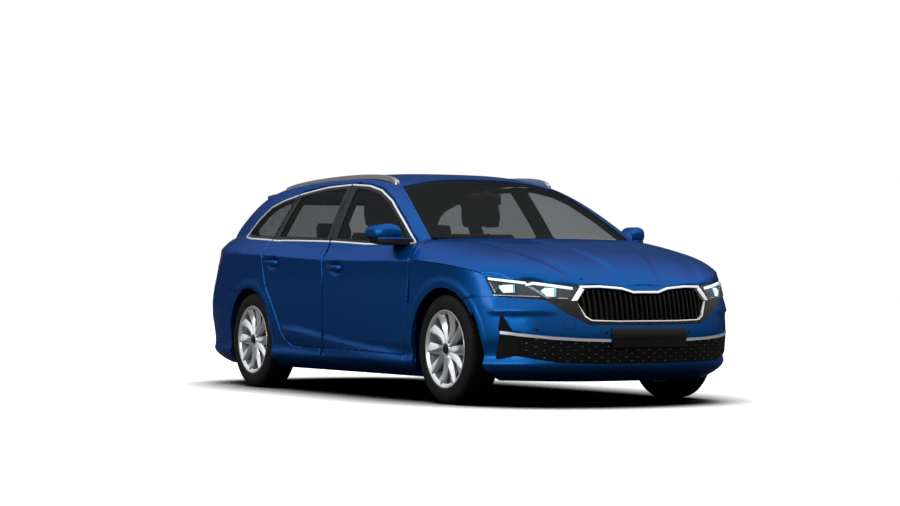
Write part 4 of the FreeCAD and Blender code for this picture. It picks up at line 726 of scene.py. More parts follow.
# %% Four wheels
TRACK_HALF = 0.7715
WHEEL_PARTS = {
    "tyre": (tyre_mesh, tyre_rubber, 32), "rim_barrel": (rim_mesh, alloy, 30),
    "spokes": (spoke_mesh, alloy, 24),
    "wheel_cap": (cap_mesh, gloss_black, 30), "wheel_bolts": (bolt_mesh, dull_alloy, 30),
    "bolt_pockets": (pocket_mesh, dull_alloy, 30), "brake_disc": (disc_mesh, brake_steel, 30),
}
for end, axle in (("front", FRONT_AXLE), ("rear", REAR_AXLE)):
    for side, across, turn in (("right", -TRACK_HALF, 0.0), ("left", TRACK_HALF, math.pi)):
        seat = Matrix.Translation((axle, across, AXLE_HEIGHT)) @ Matrix.Rotation(turn, 4, "Z")
        for kind, (source, material, smooth) in WHEEL_PARTS.items():
            work = source.copy()
            bmesh.ops.transform(work, matrix=seat, verts=work.verts)
            piece = finish_piece(f"{kind}_{end}_{side}", work, material, f"wheel_{end}_{side}", smooth)
            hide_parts(f"tyre_{end}_{side}" if kind == "tyre" else f"rim_{end}_{side}")
print("wheel parts", len(WHEEL_PARTS))

# %% [markdown]
# Lamps, grille and trim are drawn as outlines. Each could be modelled in space by eye, but it would
# drift from the body. So an outline measured in the picture, in columns and rows, is laid on the body
# by one ray a corner. Others are drawn from the front, the side or behind, in millimetres. Each
# becomes a thin patch that follows the skin below it.

# %% Rays that lay an outline on the body
EYE = Vector((13.341, -7.664, 0.717))
YAW, PITCH = math.radians(150.09), math.radians(0.756)
AHEAD = Vector((math.cos(YAW) * math.cos(PITCH), math.sin(YAW) * math.cos(PITCH), math.sin(PITCH)))
ASIDE = Vector((math.sin(YAW), -math.cos(YAW), 0.0))
UPWARD = ASIDE.cross(AHEAD)
PIXELS = 2306.25
PICTURE_WIDTH, PICTURE_HEIGHT = 900, 506


def from_eye(column, row):
    """The ray through a place in the picture."""
    aside, down = (column - PICTURE_WIDTH / 2) / PIXELS, (row - PICTURE_HEIGHT / 2) / PIXELS
    way = AHEAD + ASIDE * aside - UPWARD * down
    return EYE, way.normalized()


def from_front(across, height):
    """The ray from ahead of the car, at (y, z) in millimetres."""
    return Vector((4.0, across / 1000, height / 1000)), Vector((-1.0, 0.0, 0.0))


def from_side(along, height):
    """The ray from the right of the car, at (x, z) in millimetres."""
    return Vector((along / 1000, -2.0, height / 1000)), Vector((0.0, 1.0, 0.0))


def from_behind(across, height):
    """The ray from behind the car, at (y, z) in millimetres."""
    return Vector((-4.0, across / 1000, height / 1000)), Vector((1.0, 0.0, 0.0))


def skin_of(names, hull=False, keep=None):
    """A search tree over the surface of some nodes, or over the smooth hull round them."""
    work = bmesh.new()
    for name in names:
        work.from_mesh(nodes[name].data)
    if keep:
        bmesh.ops.delete(work, geom=[vertex for vertex in work.verts if not keep(vertex.co)], context="VERTS")
    if hull:
        bmesh.ops.remove_doubles(work, verts=work.verts, dist=0.004)
        found = bmesh.ops.convex_hull(work, input=work.verts, use_existing_faces=False)
        skin = {item for item in found["geom"] if isinstance(item, bmesh.types.BMFace)}
        bmesh.ops.delete(work, geom=[face for face in work.faces if face not in skin], context="FACES")
    tree = BVHTree.FromBMesh(work)
    work.free()
    return tree


def hit(tree, ray, inset):
    """Where a ray meets the skin, moved on by the inset."""
    start, way = ray
    spot = tree.ray_cast(start, way)[0]
    if spot is None:
        spot = tree.find_nearest(start + way * 2)[0]
    return spot + way * inset


# %% Patches and strokes
def lay(work, tree, rays, outline, inset=0.0, depth=0.004, longest=6.0):
    """Adds a thin patch with this outline, laid on the skin; its back lies deeper by the depth."""
    flat = bmesh.new()
    flat.faces.new([flat.verts.new((u, v, 0)) for u, v in outline])
    bmesh.ops.triangulate(flat, faces=flat.faces[:])
    for _ in range(6):
        long_edges = [edge for edge in flat.edges if edge.calc_length() > longest]
        if not long_edges:
            break
        cut_long(flat, long_edges)
    flat.verts.index_update()
    front, back = [], []
    for vertex in flat.verts:
        ray = rays(vertex.co.x, vertex.co.y)
        front.append(work.verts.new(hit(tree, ray, inset)))
        back.append(work.verts.new(hit(tree, ray, inset + depth)))
    for face in flat.faces:
        corners = [vertex.index for vertex in face.verts]
        work.faces.new([front[i] for i in corners])
        work.faces.new([back[i] for i in reversed(corners)])
    for edge in flat.edges:
        if edge.is_boundary:
            a, b = (vertex.index for vertex in edge.verts)
            work.faces.new([front[a], front[b], back[b], back[a]])
    flat.free()


def stroke(points, width):
    """The outline of a line with a width, mitred at its bends."""
    spots = [Vector(point) for point in points]
    sides = []
    for i, spot in enumerate(spots):
        before = (spot - spots[i - 1]).normalized() if i else None
        after = (spots[i + 1] - spot).normalized() if i + 1 < len(spots) else None
        way = (before or after) if before is None or after is None else (before + after).normalized()
        base = after or before
        normal = Vector((-way.y, way.x))
        stretch = max(normal.dot(Vector((-base.y, base.x))), 0.5)
        sides.append(normal * (width / 2 / stretch))
    there = [tuple(spot + side) for spot, side in zip(spots, sides)]
    back = [tuple(spot - side) for spot, side in zip(spots, sides)]
    return there + back[::-1]


def both_sides(work):
    """Adds the mirror image on the other side of the car."""
    twin = bmesh.ops.duplicate(work, geom=work.verts[:] + work.edges[:] + work.faces[:])["geom"]
    for item in twin:
        if isinstance(item, bmesh.types.BMVert):
            item.co.y = -item.co.y
    bmesh.ops.reverse_faces(work, faces=[item for item in twin if isinstance(item, bmesh.types.BMFace)])


def patches(name, tree, rays, outlines, material, body="chassis", inset=0.0, depth=0.004, mirror=True,
            longest=6.0):
    """One piece made of several laid patches; mirror adds the other side of the car."""
    work = bmesh.new()
    for outline in outlines:
        lay(work, tree, rays, outline, inset, depth, longest)
    bmesh.ops.recalc_face_normals(work, faces=work.faces)
    if mirror:
        both_sides(work)
    return finish_piece(name, work, material, body, 30.0)


nose_nodes = ["front_bumper", "headlamps", "grilles", "bonnet", "fender_right", "fender_left"]
nose_skin = skin_of(nose_nodes, hull=True, keep=lambda spot: spot.x > 1.7)
print("nose skin ready")

# %% [markdown]
# A headlamp is a box of reflectors behind a clear lens. Its depth hardly shows from ahead, so it is
# drawn in layers just proud of the nose: a dark cover that runs on as a wedge beside the grille, then
# light strips, two white modules, thin silver lines, and a clear lens over them all.

# %% Headlamps
dress("headlamps", gloss_black)
LAMP_COVER = [
    (484.3, 276.3), (495.0, 277.5), (511.0, 279.3), (527.0, 281.1), (552.0, 283.9), (578.6, 286.8),
    (571.5, 300.6),
    (576.8, 301.2), (585.0, 316.8), (591.0, 320.6), (589.6, 323.3), (574.0, 317.2), (561.9, 310.3),
    (544.5, 299.2),
    (520.0, 297.9), (493.6, 296.5),
]
LENS = [(485.3, 277.2), (527.0, 282.0), (577.0, 287.5), (570.5, 299.6), (544.0, 297.9), (494.3, 295.6)]
LIGHT_STRIPS = [
    [(487.7, 277.4), (507.0, 279.6), (526.4, 281.9), (526.1, 284.4), (507.0, 282.1), (487.8, 279.8)],
    [(525.2, 283.9), (532.7, 281.9), (552.0, 284.4), (572.7, 287.2), (572.5, 289.8), (552.0, 287.2),
    (532.8, 284.6),
     (525.9, 286.2)],
]
LIGHT_MODULES = [
    [(499.8, 285.7), (503.0, 284.9), (512.7, 284.6), (513.4, 292.4), (503.0, 292.8), (499.8, 288.5)],
    [(540.5, 290.7), (544.8, 287.8), (554.5, 288.2), (554.1, 296.7), (547.0, 296.4)],
]
TINT_EDGES = [
    [(498.6, 285.2), (500.0, 285.0), (500.0, 289.0), (498.6, 287.6)],
    [(513.2, 284.4), (514.5, 284.4), (515.0, 292.6), (513.9, 292.6)],
    [(555.0, 288.0), (556.4, 288.0), (556.0, 296.9), (554.7, 296.9)],
]
SILVER_LINES = [
    stroke([(528.4, 286.7), (548.0, 298.3)], 0.6), stroke([(530.8, 286.6), (550.4, 298.2)], 0.6),
    stroke([(489.5, 282.1), (495.2, 292.8)], 0.7), stroke([(493.8, 295.0), (540.0, 296.6)], 0.7),
    stroke([(558.0, 298.0), (567.7, 298.3)], 0.8),
]
LAMP_INSIDE = [
    [(517.0, 284.6), (526.0, 285.6), (536.0, 296.0), (518.5, 295.6)],
    [(488.8, 281.6), (497.4, 282.6), (497.6, 289.0), (494.0, 292.6)],
    [(558.4, 289.2), (571.4, 290.6), (569.0, 296.8), (558.0, 296.6)],
]
LAMP_LAYERS = [
    ("headlamp_covers", [LAMP_COVER], gloss_black, -0.0015),
    ("headlamp_reflectors", LAMP_INSIDE, lamp_housing, -0.0026),
    ("headlamp_strips", LIGHT_STRIPS, lamp_light, -0.0036),
    ("headlamp_modules", LIGHT_MODULES, lamp_light, -0.0036),
    ("headlamp_module_edges", TINT_EDGES, lamp_tint, -0.0034),
    ("headlamp_silver_lines", SILVER_LINES, bright_chrome, -0.0034),
    ("headlamp_lenses", [LENS], lens_glass, -0.0056),
]
for name, outlines, material, inset in LAMP_LAYERS:
    patches(name, nose_skin, from_eye, outlines, material, inset=inset, depth=0.001, longest=4)
print("headlamp layers", len(LAMP_LAYERS))

# %% [markdown]
# The grille sits in a chrome frame: a thick slanted bar at each upper corner and a thin line round the
# rest. A bent tube would stand too far out, so the frame is laid on the nose as flat strokes.

# %% Grille frame
GRILLE_CORNER_BAR = [(579.8, 286.9), (584.2, 289.4), (577.5, 300.6), (571.2, 300.8)]
GRILLE_SIDE_LINE = [(575.5, 300.4), (585.5, 316.4), (591.2, 320.0)]
TOP_LINE = [(-421, 698), (-300, 700), (-160, 689), (-88, 667), (88, 667), (160, 689), (300, 700), (421, 698)]
LOW_LINE = [(-394, 511), (-372, 505), (-200, 500), (200, 500), (372, 505), (394, 511)]
patches("grille_corner_bars", nose_skin, from_eye, [GRILLE_CORNER_BAR], bright_chrome,
        inset=-0.002, depth=0.02)
patches("grille_side_lines", nose_skin, from_eye, [stroke(GRILLE_SIDE_LINE, 1.2)], bright_chrome,
        inset=-0.001, depth=0.012)
patches("grille_rim", nose_skin, from_front, [stroke(TOP_LINE, 12), stroke(LOW_LINE, 6)], bright_chrome,
        inset=-0.001, depth=0.012, mirror=False, longest=40)
print("grille frame ready")

# %% [markdown]
# The low intake has a net of diamonds with a small bright knot at each crossing. A pattern in the
# material would stay flat, so threads and knots are patches, on a grid that is cut off at the
# intake's outline.

# %% Intake net
INTAKE = [
    (-775, 309), (-555, 262), (-268, 254), (268, 254), (555, 262), (775, 309), (775, 441), (720, 430),
    (560, 408), (268, 392), (-268, 392), (-560, 408), (-720, 430), (-775, 441),
]
NET_STEP, NET_RISE, NET_LOW, NET_ROWS, NET_COLUMNS = 78, 21, 250, 10, 11
KNOT_WIDTH, KNOT_HEIGHT, THREAD = 6.5, 3.5, 2.6


def in_outline(outline, u, v):
    """True for a place inside a closed outline."""
    inside = False
    for (u0, v0), (u1, v1) in zip(outline, outline[1:] + outline[:1]):
        if (v0 > v) != (v1 > v) and u < u0 + (u1 - u0) * (v - v0) / (v1 - v0):
            inside = not inside
    return inside


knots = []
threads = []
for row in range(NET_ROWS):
    for column in range(-NET_COLUMNS, NET_COLUMNS + 1):
        u = column * NET_STEP + (NET_STEP // 2 if row % 2 else 0)
        v = NET_LOW + row * NET_RISE
        if not in_outline(INTAKE, u, v):
            continue
        knots.append([(u - KNOT_WIDTH, v), (u, v - KNOT_HEIGHT), (u + KNOT_WIDTH, v), (u, v + KNOT_HEIGHT)])
        for far in (u - NET_STEP // 2, u + NET_STEP // 2):
            if in_outline(INTAKE, far, v + NET_RISE):
                threads.append(stroke([(u, v), (far, v + NET_RISE)], THREAD))
NET_LAYERS = [
    # The black sheet behind the net is painted shade: it stands in for the dark, shaded inside of the intake.
    ("intake_painted_shade_back", [INTAKE], underbody, 0.0035, 0.002),
    ("intake_threads", threads, black_plastic, 0.0015, 0.003),
    ("intake_knots", knots, dull_alloy, 0.0005, 0.003),
]
for name, outlines, material, inset, depth in NET_LAYERS:
    patches(name, nose_skin, from_front, outlines, material, inset=inset, depth=depth, mirror=False,
            longest=60)
print("knots", len(knots), "threads", len(threads))

# %% [markdown]
# Round the intake: a chrome strip over it, a black air curtain at each end, a blank flat plate, the
# parking sensors and the line of the tow-eye cover. The plate is flat on the real car, so it is a
# bevelled box and not a patch that bends with the nose.

# %% Chrome strips, air curtains and plate
CHROME_LINE = [(499.8, 332.4), (520.0, 334.9), (553.0, 338.2), (580.0, 339.8), (613.4, 340.7)]
CURTAIN = [
    [(500.4, 312.2), (513.0, 331.4), (506.0, 330.8), (498.0, 330.6)],
    [(499.3, 334.6), (519.0, 337.4), (519.0, 353.6), (507.0, 357.2), (495.6, 358.8)],
]
PLATE_FRONT, PLATE_BACK, PLATE_WIDE, PLATE_LOW, PLATE_TOP = 2.3405, 2.296, 0.520, 0.347, 0.460
patches("intake_chrome_strips", nose_skin, from_eye, [stroke(CHROME_LINE, 2.9)], satin_chrome, inset=-0.003,
        depth=0.014)
patches("air_curtains", nose_skin, from_eye, CURTAIN, underbody, inset=-0.0015, depth=0.006)
plate_place = Matrix.Translation(((PLATE_FRONT + PLATE_BACK) / 2, 0, (PLATE_LOW + PLATE_TOP) / 2))
plate_size = Matrix.Diagonal((PLATE_FRONT - PLATE_BACK, PLATE_WIDE, PLATE_TOP - PLATE_LOW, 1))
work = bmesh.new()
bmesh.ops.create_cube(work, size=1.0, matrix=plate_place @ plate_size)
bmesh.ops.bevel(work, geom=work.edges[:], offset=0.003, segments=2, profile=0.5, affect="EDGES", material=-1)
finish_piece("plate", work, gloss_black, "chassis", 30.0)

# %% Sensors and tow-eye cover
SENSORS = [(537.1, 330.1), (606.8, 332.8)]
SENSOR_RADIUS = 1.7
TOW_CENTRE, TOW_RADIUS, TOW_INNER, TOW_STEPS = (569.6, 324.1), 6.0, 0.90, 24


def around(centre, radius, angles):
    """Places on a circle in the picture."""
    return [(centre[0] + radius * math.cos(angle), centre[1] + radius * math.sin(angle)) for angle in angles]


patches("sensors", nose_skin, from_eye, [around(centre, SENSOR_RADIUS, range(6)) for centre in SENSORS],
        black_plastic, inset=-0.001, depth=0.004)
tow_angles = [math.radians(360 * i / TOW_STEPS) for i in range(TOW_STEPS)]
outer = around(TOW_CENTRE, TOW_RADIUS, tow_angles)
inner = around(TOW_CENTRE, TOW_RADIUS * TOW_INNER, tow_angles)
work = bmesh.new()
for i in range(TOW_STEPS):
    j = (i + 1) % TOW_STEPS
    lay(work, nose_skin, from_eye, [outer[i], outer[j], inner[j], inner[i]], -0.0006, 0.003)
finish_piece("tow_cover_line", work, gloss_black, "chassis", 30)
print("front ready")

# %% [markdown]
# Chrome runs round the side windows as one strip, cut where the doors part. A curve with a bevel would
# float over the curved doors. So the strip follows points measured along the window edge and lies on
# whichever panel is nearest to it there, and each door carries its own run.

# %% Window strip
WINDOW_LINE = [
    (1014, -811, 960), (769, -765, 1105), (507, -705, 1241), (301, -667, 1314), (111, -650, 1350),
    (-143, -643, 1367),
    (-491, -651, 1363), (-842, -668, 1332), (-1110, -684, 1296), (-1283, -699, 1256), (-1413, -736, 1179),
    (-1523, -780, 1077), (-1449, -804, 1044), (-1344, -818, 1029), (-900, -838, 1012), (1, -854, 990),
    (434, -857, 969),
    (800, -838, 960), (1014, -811, 958),
]
STRIP_STEP, STRIP_WIDTH, STRIP_HEIGHT, STRIP_ROOT = 0.02, 0.0125, 0.004, 0.004


def loft(work, rings):
    """Bridges closed rings of places, one after another, and fills both ends."""
    before = None
    for places in rings:
        ring = [work.verts.new(spot) for spot in places]
        loop = [work.edges.new((ring[i - 1], ring[i])) for i in range(len(ring))]
        if before:
            bmesh.ops.bridge_loops(work, edges=before + loop)
        before = loop
    bmesh.ops.holes_fill(work, edges=[edge for edge in work.edges if edge.is_boundary], sides=0)


def strip_runs(side):
    """The window line in short steps, grouped by the panel that carries each step."""
    sign = -1 if side == "left" else 1
    hosts = (f"door_front_{side}", f"door_rear_{side}", f"body_side_{side}")
    trees = {name: skin_of([name]) for name in hosts}
    line = [Vector((x, y * sign, z)) / 1000 for x, y, z in WINDOW_LINE]
    spots = []
    for a, b in zip(line, line[1:]):
        count = max(int((b - a).length / STRIP_STEP), 1)
        spots += [a.lerp(b, i / count) for i in range(count)]
    spots.append(line[-1])
    runs = []
    for i, spot in enumerate(spots):
        found = {name: tree.find_nearest(spot) for name, tree in trees.items()}
        host = min(found, key=lambda name: found[name][3])
        way = (spots[min(i + 1, len(spots) - 1)] - spots[max(i - 1, 0)]).normalized()
        if not runs or runs[-1][0] != host:
            runs.append((host, []))
        runs[-1][1].append((found[host][0], way))
    return runs


def strip_ring(place, way):
    """The six corners of the strip's section: a flat bar with softened edges."""
    out = Vector((0, math.copysign(0.85, place.y), 0.5)).normalized()
    across = out.cross(way).normalized() * (STRIP_WIDTH / 2)
    root, shoulder, top = out * STRIP_ROOT, out * STRIP_HEIGHT * 0.6, out * STRIP_HEIGHT
    return [place - across - root, place - across + shoulder, place - across * 0.7 + top,
            place + across * 0.7 + top, place + across + shoulder, place + across - root]


for side in ("right", "left"):
    by_host = {}
    for host, places in strip_runs(side):
        if len(places) > 2:
            by_host.setdefault(host, []).append(places)
    for host, groups in by_host.items():
        work = bmesh.new()
        for places in groups:
            loft(work, [strip_ring(place, way) for place, way in places])
        finish_piece(f"window_strip_{host}", work, satin_chrome, body_of_node[host], 40)
    print("window strip", side, len(by_host))

# %% [markdown]
# A door handle is a moulded bar in the paint's colour, bridged over a bowl for the fingers. A plain
# capsule would be too thick, so flat ovals are stacked along it, thin at the ends where it meets the
# door.

# %% Door handles
# A section: place along the bar, how far it stands out, and half its height.
HANDLE_SECTIONS = [
    (-0.104, 0.004, 0.011), (-0.098, 0.018, 0.014), (-0.07, 0.027, 0.0155), (0.0, 0.031, 0.016),
    (0.07, 0.027, 0.0155), (0.098, 0.018, 0.014), (0.104, 0.004, 0.011),
]
HANDLE_THICK, HANDLE_CORNERS = 0.006, 10


def handle_ring(tree, sign, x, z, section):
    """One oval of a handle, standing on the skin of its door."""
    along, out, half = section
    base = tree.ray_cast(Vector((x + along, sign * 2.0, z)), Vector((0, -sign, 0)))[0]
    ring = []
    for k in range(HANDLE_CORNERS):
        turn = 2 * math.pi * k / HANDLE_CORNERS
        depth = out - HANDLE_THICK + HANDLE_THICK * math.cos(turn)
        ring.append((x + along, base.y + sign * depth, z + half * math.sin(turn)))
    return ring


for side, sign in (("right", -1), ("left", 1)):
    for door, (x, z) in zip(("front", "rear"), HANDLES):
        host = f"door_{door}_{side}"
        tree = skin_of([host])
        work = bmesh.new()
        loft(work, [handle_ring(tree, sign, x, z, section) for section in HANDLE_SECTIONS])
        finish_piece(f"handle_{door}_{side}", work, paint, body_of_node[host], 50)
print("handles", 2 * len(HANDLES))

# %% [markdown]
# A door mirror has a painted cap on a black foot, with its glass facing back. The cap and the foot are
# one solid in the model, so the faces are told apart by their height and by where they point. The
# glass is a patch laid on the housing from behind.

# %% Mirrors
MIRROR_FACE = [(-984, 1008), (-884, 1003), (-880, 1064), (-930, 1070), (-974, 1058)]
for side, sign in (("right", 1), ("left", -1)):
    host = f"mirror_{side}"
    work = merged_copy(host)
    for face in work.faces:
        middle = face.calc_center_median()
        behind_cap = face.normal.x < -0.6 and middle.z > 0.995
        foot = middle.z < 0.9915 or (face.normal.z < -0.5 and middle.z < 1.0)
        if behind_cap or foot:
            face.material_index = 1
    piece = finish_piece(f"{host}_cover", work, [paint, black_plastic], body_of_node[host], 32,
                         recalculate=False)
    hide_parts(host)
    patches(f"mirror_glass_{side}", skin_of([host]), from_behind, [[(y * sign, z) for y, z in MIRROR_FACE]],
            mirror_glass, body=body_of_node[host], inset=-0.0015, depth=0.003, mirror=False, longest=20)
print("mirrors ready")

# %% [markdown]
# The fuel flap shows only as a thin gap in the right flank, drawn as strokes. Two wipers rest low on
# the windscreen: thin bars, turned along their lines and lifted off the glass where they touch it.

# %% Fuel flap and wipers
side_skin = skin_of(["body_side_right", "door_front_right", "door_rear_right", "fender_right"])
FLAP = [
    (-1268, 866), (-990, 878), (-976, 892), (-982, 972), (-996, 984), (-1262, 974), (-1276, 962),
    (-1280, 880),
]
FLAP_GAP = 4.0
work = bmesh.new()
for start, stop in zip(FLAP, FLAP[1:] + FLAP[:1]):
    lay(work, side_skin, from_side, stroke([start, stop], FLAP_GAP), -0.0008, 0.003, 60)
finish_piece("fuel_flap_line", work, gloss_black, "chassis", 30)
glass_skin = skin_of(["windscreen"])
WIPERS = [
    [(0.985, 0.60, 0.986), (1.035, 0.05, 0.986), (1.045, -0.02, 0.980)],
    [(0.965, -0.10, 0.998), (1.03, -0.62, 0.975), (1.04, -0.66, 0.968)],
]
WIPER_THICK, WIPER_WIDE, WIPER_LIFT = 0.012, 0.016, 0.002
work = bmesh.new()
for line in WIPERS:
    spots = [Vector(spot) for spot in line]
    for a, b in zip(spots, spots[1:]):
        turn = (b - a).to_track_quat("Z", "Y").to_matrix().to_4x4()
        bar = bmesh.ops.create_cube(work, size=1.0)["verts"]
        bmesh.ops.scale(work, verts=bar, vec=(WIPER_THICK, WIPER_WIDE, (b - a).length))
        bmesh.ops.transform(work, verts=bar, matrix=Matrix.Translation((a + b) / 2) @ turn)
for vertex in work.verts:
    _, normal, _, distance = glass_skin.find_nearest(vertex.co)
    if distance < 0.03:
        vertex.co += normal * WIPER_LIFT
finish_piece("wipers", work, black_plastic, "chassis", 30)

# %% [markdown]
# The tail is not in the picture, so it is kept plain: a light bar and a hook in each lamp, a blank
# plate on the tailgate, a black valance and two reflectors. A lamp parts where the tailgate does, so
# its light bars are two pieces, one on the body and one on the tailgate.

# %% Rear lamps, plate, valance and reflectors
TAIL_BARS = [
    [(-838, 838), (-800, 846), (-645, 850), (-645, 868), (-800, 866), (-838, 862)],
    [(-700, 800), (-645, 796), (-645, 812), (-705, 816)],
]
GATE_BARS = [
    [(-620, 850), (-380, 856), (-380, 872), (-620, 868)],
    [(-620, 796), (-400, 792), (-380, 856), (-394, 856), (-408, 806), (-620, 812)],
]
REAR_PLATE = [(-260, 668), (260, 668), (260, 778), (-260, 778)]
VALANCE = [(-700, 178), (700, 178), (640, 285), (-640, 285)]
REFLECTOR = [(-800, 330), (-640, 322), (-640, 344), (-800, 354)]
patches("tail_light_bars", skin_of(["tail_lamps"]), from_behind, TAIL_BARS, red_light,
        inset=-0.002, longest=30)
patches("tailgate_light_bars", skin_of(["tailgate_lamps"]), from_behind, GATE_BARS, red_light,
        body="tailgate", inset=-0.002, longest=30)
patches("rear_plate", skin_of(["tailgate"]), from_behind, [REAR_PLATE], gloss_black,
        body="tailgate", inset=-0.008, depth=0.012, mirror=False, longest=80)
tail_bumper = skin_of(["rear_bumper"])
patches("rear_valance", tail_bumper, from_behind, [VALANCE], black_plastic, inset=-0.003, depth=0.006,
        mirror=False, longest=60)
patches("rear_reflectors", tail_bumper, from_behind, [REFLECTOR], red_lens, inset=-0.002, depth=0.005,
        longest=40)
print("small trim ready")

# %% [markdown]
# The cabin and the running gear are seen only through glass, through open doors and behind the
# wheels. Their shapes are in the model, so they only get a finish. The inner mirror is two bevelled
# boxes.

# %% Cabin and running gear
INNER_PARTS = {
    "dashboard": cabin_plastic, "steering_wheel": cabin_plastic, "floor_pan": underbody,
    "front_subframe": underbody, "rear_axle": underbody, "engine_block": dull_alloy,
    "knuckle_right": dull_alloy, "knuckle_left": dull_alloy,
}
for node, material in INNER_PARTS.items():
    dress(node, material)
MIRROR_BOXES = [((0.46, 0.0, 1.262), (0.035, 0.25, 0.072, 1)), ((0.487, 0.0, 1.288), (0.06, 0.05, 0.05, 1))]
work = bmesh.new()
for place, size in MIRROR_BOXES:
    bmesh.ops.create_cube(work, size=1.0, matrix=Matrix.Translation(place) @ Matrix.Diagonal(size))
bmesh.ops.bevel(work, geom=work.edges[:], offset=0.012, segments=3, profile=0.5, affect="EDGES", material=-1)
finish_piece("cabin_mirror", work, gloss_black, "chassis", 40)
print("cabin dressed")

# %% [markdown]
# Seats are foam under woven cloth. A bevel would round them evenly, but foam swells in its middle and
# is held at its seams. So a remeshed copy swells a little under pressure in a cloth simulation, with
# its movement capped, and its faces crown and its edges round as foam under cloth does.

# %% Padded seats
PRESSURE, SWELL_FRAMES, SWELL_CAP, FOAM_SHARE = 4.0, 12, 0.006, 0.8


def apply_modifiers(piece):
    """Bakes a piece's modifiers into its mesh."""
    depsgraph = bpy.context.evaluated_depsgraph_get()
    baked = bpy.data.meshes.new_from_object(piece.evaluated_get(depsgraph))
    piece.modifiers.clear()
    piece.data = baked


def swell(piece, cap):
    """Blows a closed mesh up as cloth round foam, and holds each corner within the cap."""
    rest = [vertex.co.copy() for vertex in piece.data.vertices]
    cloth = piece.modifiers.new("cloth", "CLOTH")
    cloth.settings.use_pressure = True
    cloth.settings.uniform_pressure_force = PRESSURE
    cloth.settings.quality = 4
    cloth.settings.effector_weights.gravity = 0.0
    for number in range(1, SWELL_FRAMES + 1):
        bpy.context.scene.frame_set(number)
    apply_modifiers(piece)
    bpy.context.scene.frame_set(1)
    for vertex, start in zip(piece.data.vertices, rest):
        move = vertex.co - start
        if move.length > cap:
            vertex.co = start + move.normalized() * cap


def pad(node, voxel):
    """A padded piece for a seat node."""
    piece = link_new(node + "_padded", new_mesh(node + "_padded", merged_copy(node)))
    piece.data.materials.append(seat_cloth)
    remesh = piece.modifiers.new("remesh", "REMESH")
    remesh.mode = "VOXEL"
    remesh.voxel_size = voxel
    remesh.use_smooth_shade = True
    apply_modifiers(piece)
    swell(piece, SWELL_CAP)
    piece.data.polygons.foreach_set("use_smooth", [True] * len(piece.data.polygons))
    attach(piece, body_of_node[node])
    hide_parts(node)


pad("front_seats", 0.010)
pad("rear_bench", 0.012)
print("seats padded")

# %% [markdown]
# The floor is pale and meets the camera as white, and the lamps cast the car's shadow on it. A plain
# white floor would also send white light up into the paint, so only the camera and the glass see it as
# white, shiny surfaces see a trace of it, and the car is lit by a dark one. The soft, deep shadow under
# the car is painted shadow: an Ambient Occlusion node darkens the floor's colour and glow there,
# whatever the lamps do.

# %% Floor
work = bmesh.new()
bmesh.ops.create_circle(work, cap_ends=True, radius=60.0, segments=64)
floor = link_new("studio_floor", new_mesh("studio_floor", work))
PAINTED_SHADOW_REACH, FLOOR_GLOW, GLOSSY_SHARE = 1.2, 0.55, 0.08
# A studio floor: matt white, with painted shadow where an Ambient Occlusion node finds the car near, over the
# shadow that the lamps cast.
material = bpy.data.materials.new("studio_floor_white_painted_shadow")
material.use_nodes = True
tree = material.node_tree
tree.nodes.clear()
near = add_node(tree, "AmbientOcclusion", {"Distance": PAINTED_SHADOW_REACH}, samples=8)
# Painted shadow: the occlusion, mapped to 0 under the car and 1 in the open, darkens the floor's colour and
# its glow.
painted_shadow_ramp = add_node(tree, "MapRange", {"Value": near.outputs["AO"], "From Min": 0.45, "From Max": 0.97})
matt = add_node(tree, "BsdfDiffuse", {"Color": painted_shadow_ramp.outputs["Result"]})
level = add_node(tree, "Math", {0: painted_shadow_ramp.outputs["Result"], 1: FLOOR_GLOW}, operation="MULTIPLY")
glow = add_node(tree, "Emission", {"Color": (1, 1, 1, 1), "Strength": level.outputs[0]})
both = add_node(tree, "AddShader", {0: matt.outputs[0], 1: glow.outputs[0]})
dull = add_node(tree, "BsdfDiffuse", {"Color": linear("#161616")})


def seen_directly(tree):
    """A Light Path node, and 1 for what the camera sees, also through glass."""
    path = add_node(tree, "LightPath")
    direct = {0: path.outputs["Is Camera Ray"], 1: path.outputs["Is Transmission Ray"]}
    return path, add_node(tree, "Math", direct, operation="MAXIMUM").outputs[0]


path, seen = seen_directly(tree)
shiny = add_node(tree, "Math", {0: path.outputs["Is Glossy Ray"], 1: GLOSSY_SHARE}, operation="MULTIPLY")
share = add_node(tree, "Math", {0: seen, 1: shiny.outputs[0]}, operation="MAXIMUM")
pick = add_node(tree, "MixShader", {0: share.outputs[0], 1: dull.outputs[0], 2: both.outputs[0]})
add_node(tree, "OutputMaterial", {"Surface": pick.outputs[0]})
floor.data.materials.append(material)

# %% [markdown]
# The world is white to the camera. For reflections it is a studio: bright overhead, darker down to the
# horizon, and dim behind the car, which gives the paint its deep lower doors. An image of a studio
# would look as good, but two gradients say the same in a few nodes.

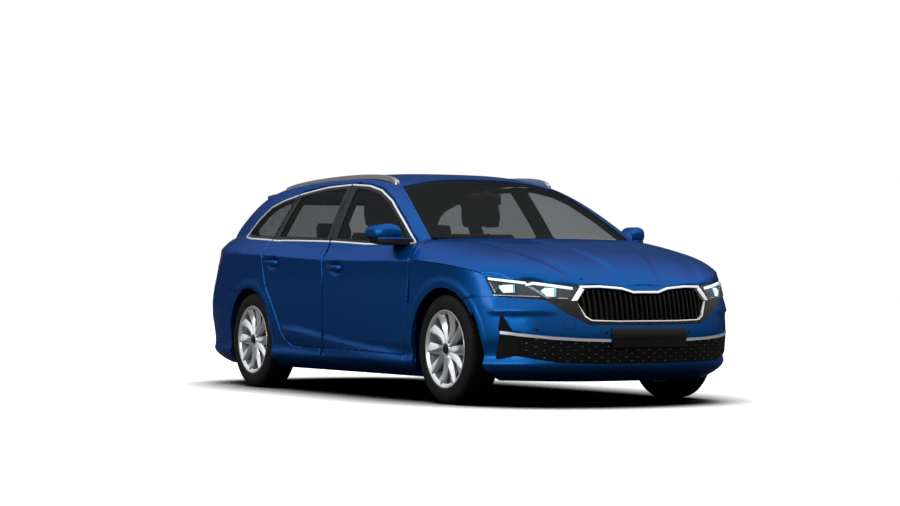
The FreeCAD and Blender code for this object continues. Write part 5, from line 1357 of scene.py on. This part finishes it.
# %% World
HORIZON, ZENITH = (-0.08, 0.03), (0.55, 1.2)
BEHIND_CAR, DIM_FROM, DIM_TO, DIM_LEVEL = (-0.867, 0.498, 0.0), 0.5, 0.9, 0.22
world = bpy.data.worlds.new("studio")
bpy.context.scene.world = world
world.use_nodes = True
tree = world.node_tree
tree.nodes.clear()
place = add_node(tree, "TexCoord")
parts = add_node(tree, "SeparateXYZ", {"Vector": place.outputs["Generated"]})
overhead = add_node(tree, "MapRange", {"Value": parts.outputs["Z"], "From Min": HORIZON[0],
                                       "From Max": ZENITH[0], "To Min": HORIZON[1], "To Max": ZENITH[1]})
behind = add_node(tree, "VectorMath", {0: place.outputs["Generated"], 1: BEHIND_CAR}, operation="DOT_PRODUCT")
dim = add_node(tree, "MapRange", {"Value": behind.outputs["Value"], "From Min": DIM_FROM, "From Max": DIM_TO,
                                  "To Min": 1.0, "To Max": DIM_LEVEL})
lit = add_node(tree, "Math", {0: overhead.outputs["Result"], 1: dim.outputs["Result"]}, operation="MULTIPLY")
seen = seen_directly(tree)[1]
level = add_node(tree, "Mix", {0: seen, 2: lit.outputs[0], 3: 1.0}, data_type="FLOAT")
shade = add_node(tree, "Background", {"Color": (1, 1, 1, 1), "Strength": level.outputs[0]})
add_node(tree, "OutputWorld", {"Surface": shade.outputs[0]})

# %% [markdown]
# Three soft boxes: one overhead, one from the front corner, and a low long one that the wheels and the
# flank mirror. The first two would show as white blots in the bonnet, so shiny surfaces don't see them.

# %% Lamps of the studio
def soft_lamp(name, place, aim, size, power, mirrored):
    """A soft box at a place, turned towards its aim; mirrored says if shiny surfaces show it."""
    light = bpy.data.lights.new(name, "AREA")
    light.shape = "RECTANGLE"
    light.size, light.size_y = size
    light.energy = power
    lamp = link_new(name, light)
    lamp.location = place
    lamp.rotation_euler = (Vector(aim) - Vector(place)).to_track_quat("-Z", "Y").to_euler()
    lamp.visible_glossy = mirrored


soft_lamp("overhead_box", (0.0, 0.0, 6.0), (0.0, 0.0, 0.0), (6.0, 3.0), 240, False)
soft_lamp("front_side_box", (6.5, -6.0, 4.6), (1.0, 0.0, 0.7), (5.0, 2.6), 110, False)
soft_lamp("wheel_box", (1.5, -9.0, 1.9), (0.0, -0.8, 0.3), (8.0, 1.0), 160, True)
print("studio ready")

# %% [markdown]
# The camera stands where the photographer stood, far off with a long lens, so that the car is hardly
# foreshortened. Its lens follows from the same picture scale that laid the outlines.

# %% Camera
camera_data = bpy.data.cameras.new("camera")
camera_data.sensor_width = 36.0
camera_data.lens = PIXELS * camera_data.sensor_width / PICTURE_WIDTH
camera = link_new("camera", camera_data)
camera.location = EYE
camera.rotation_euler = AHEAD.to_track_quat("-Z", "Y").to_euler()
bpy.context.scene.camera = camera
bpy.context.scene.view_settings.view_transform = "Standard"
print("lens in mm", round(camera_data.lens, 2))
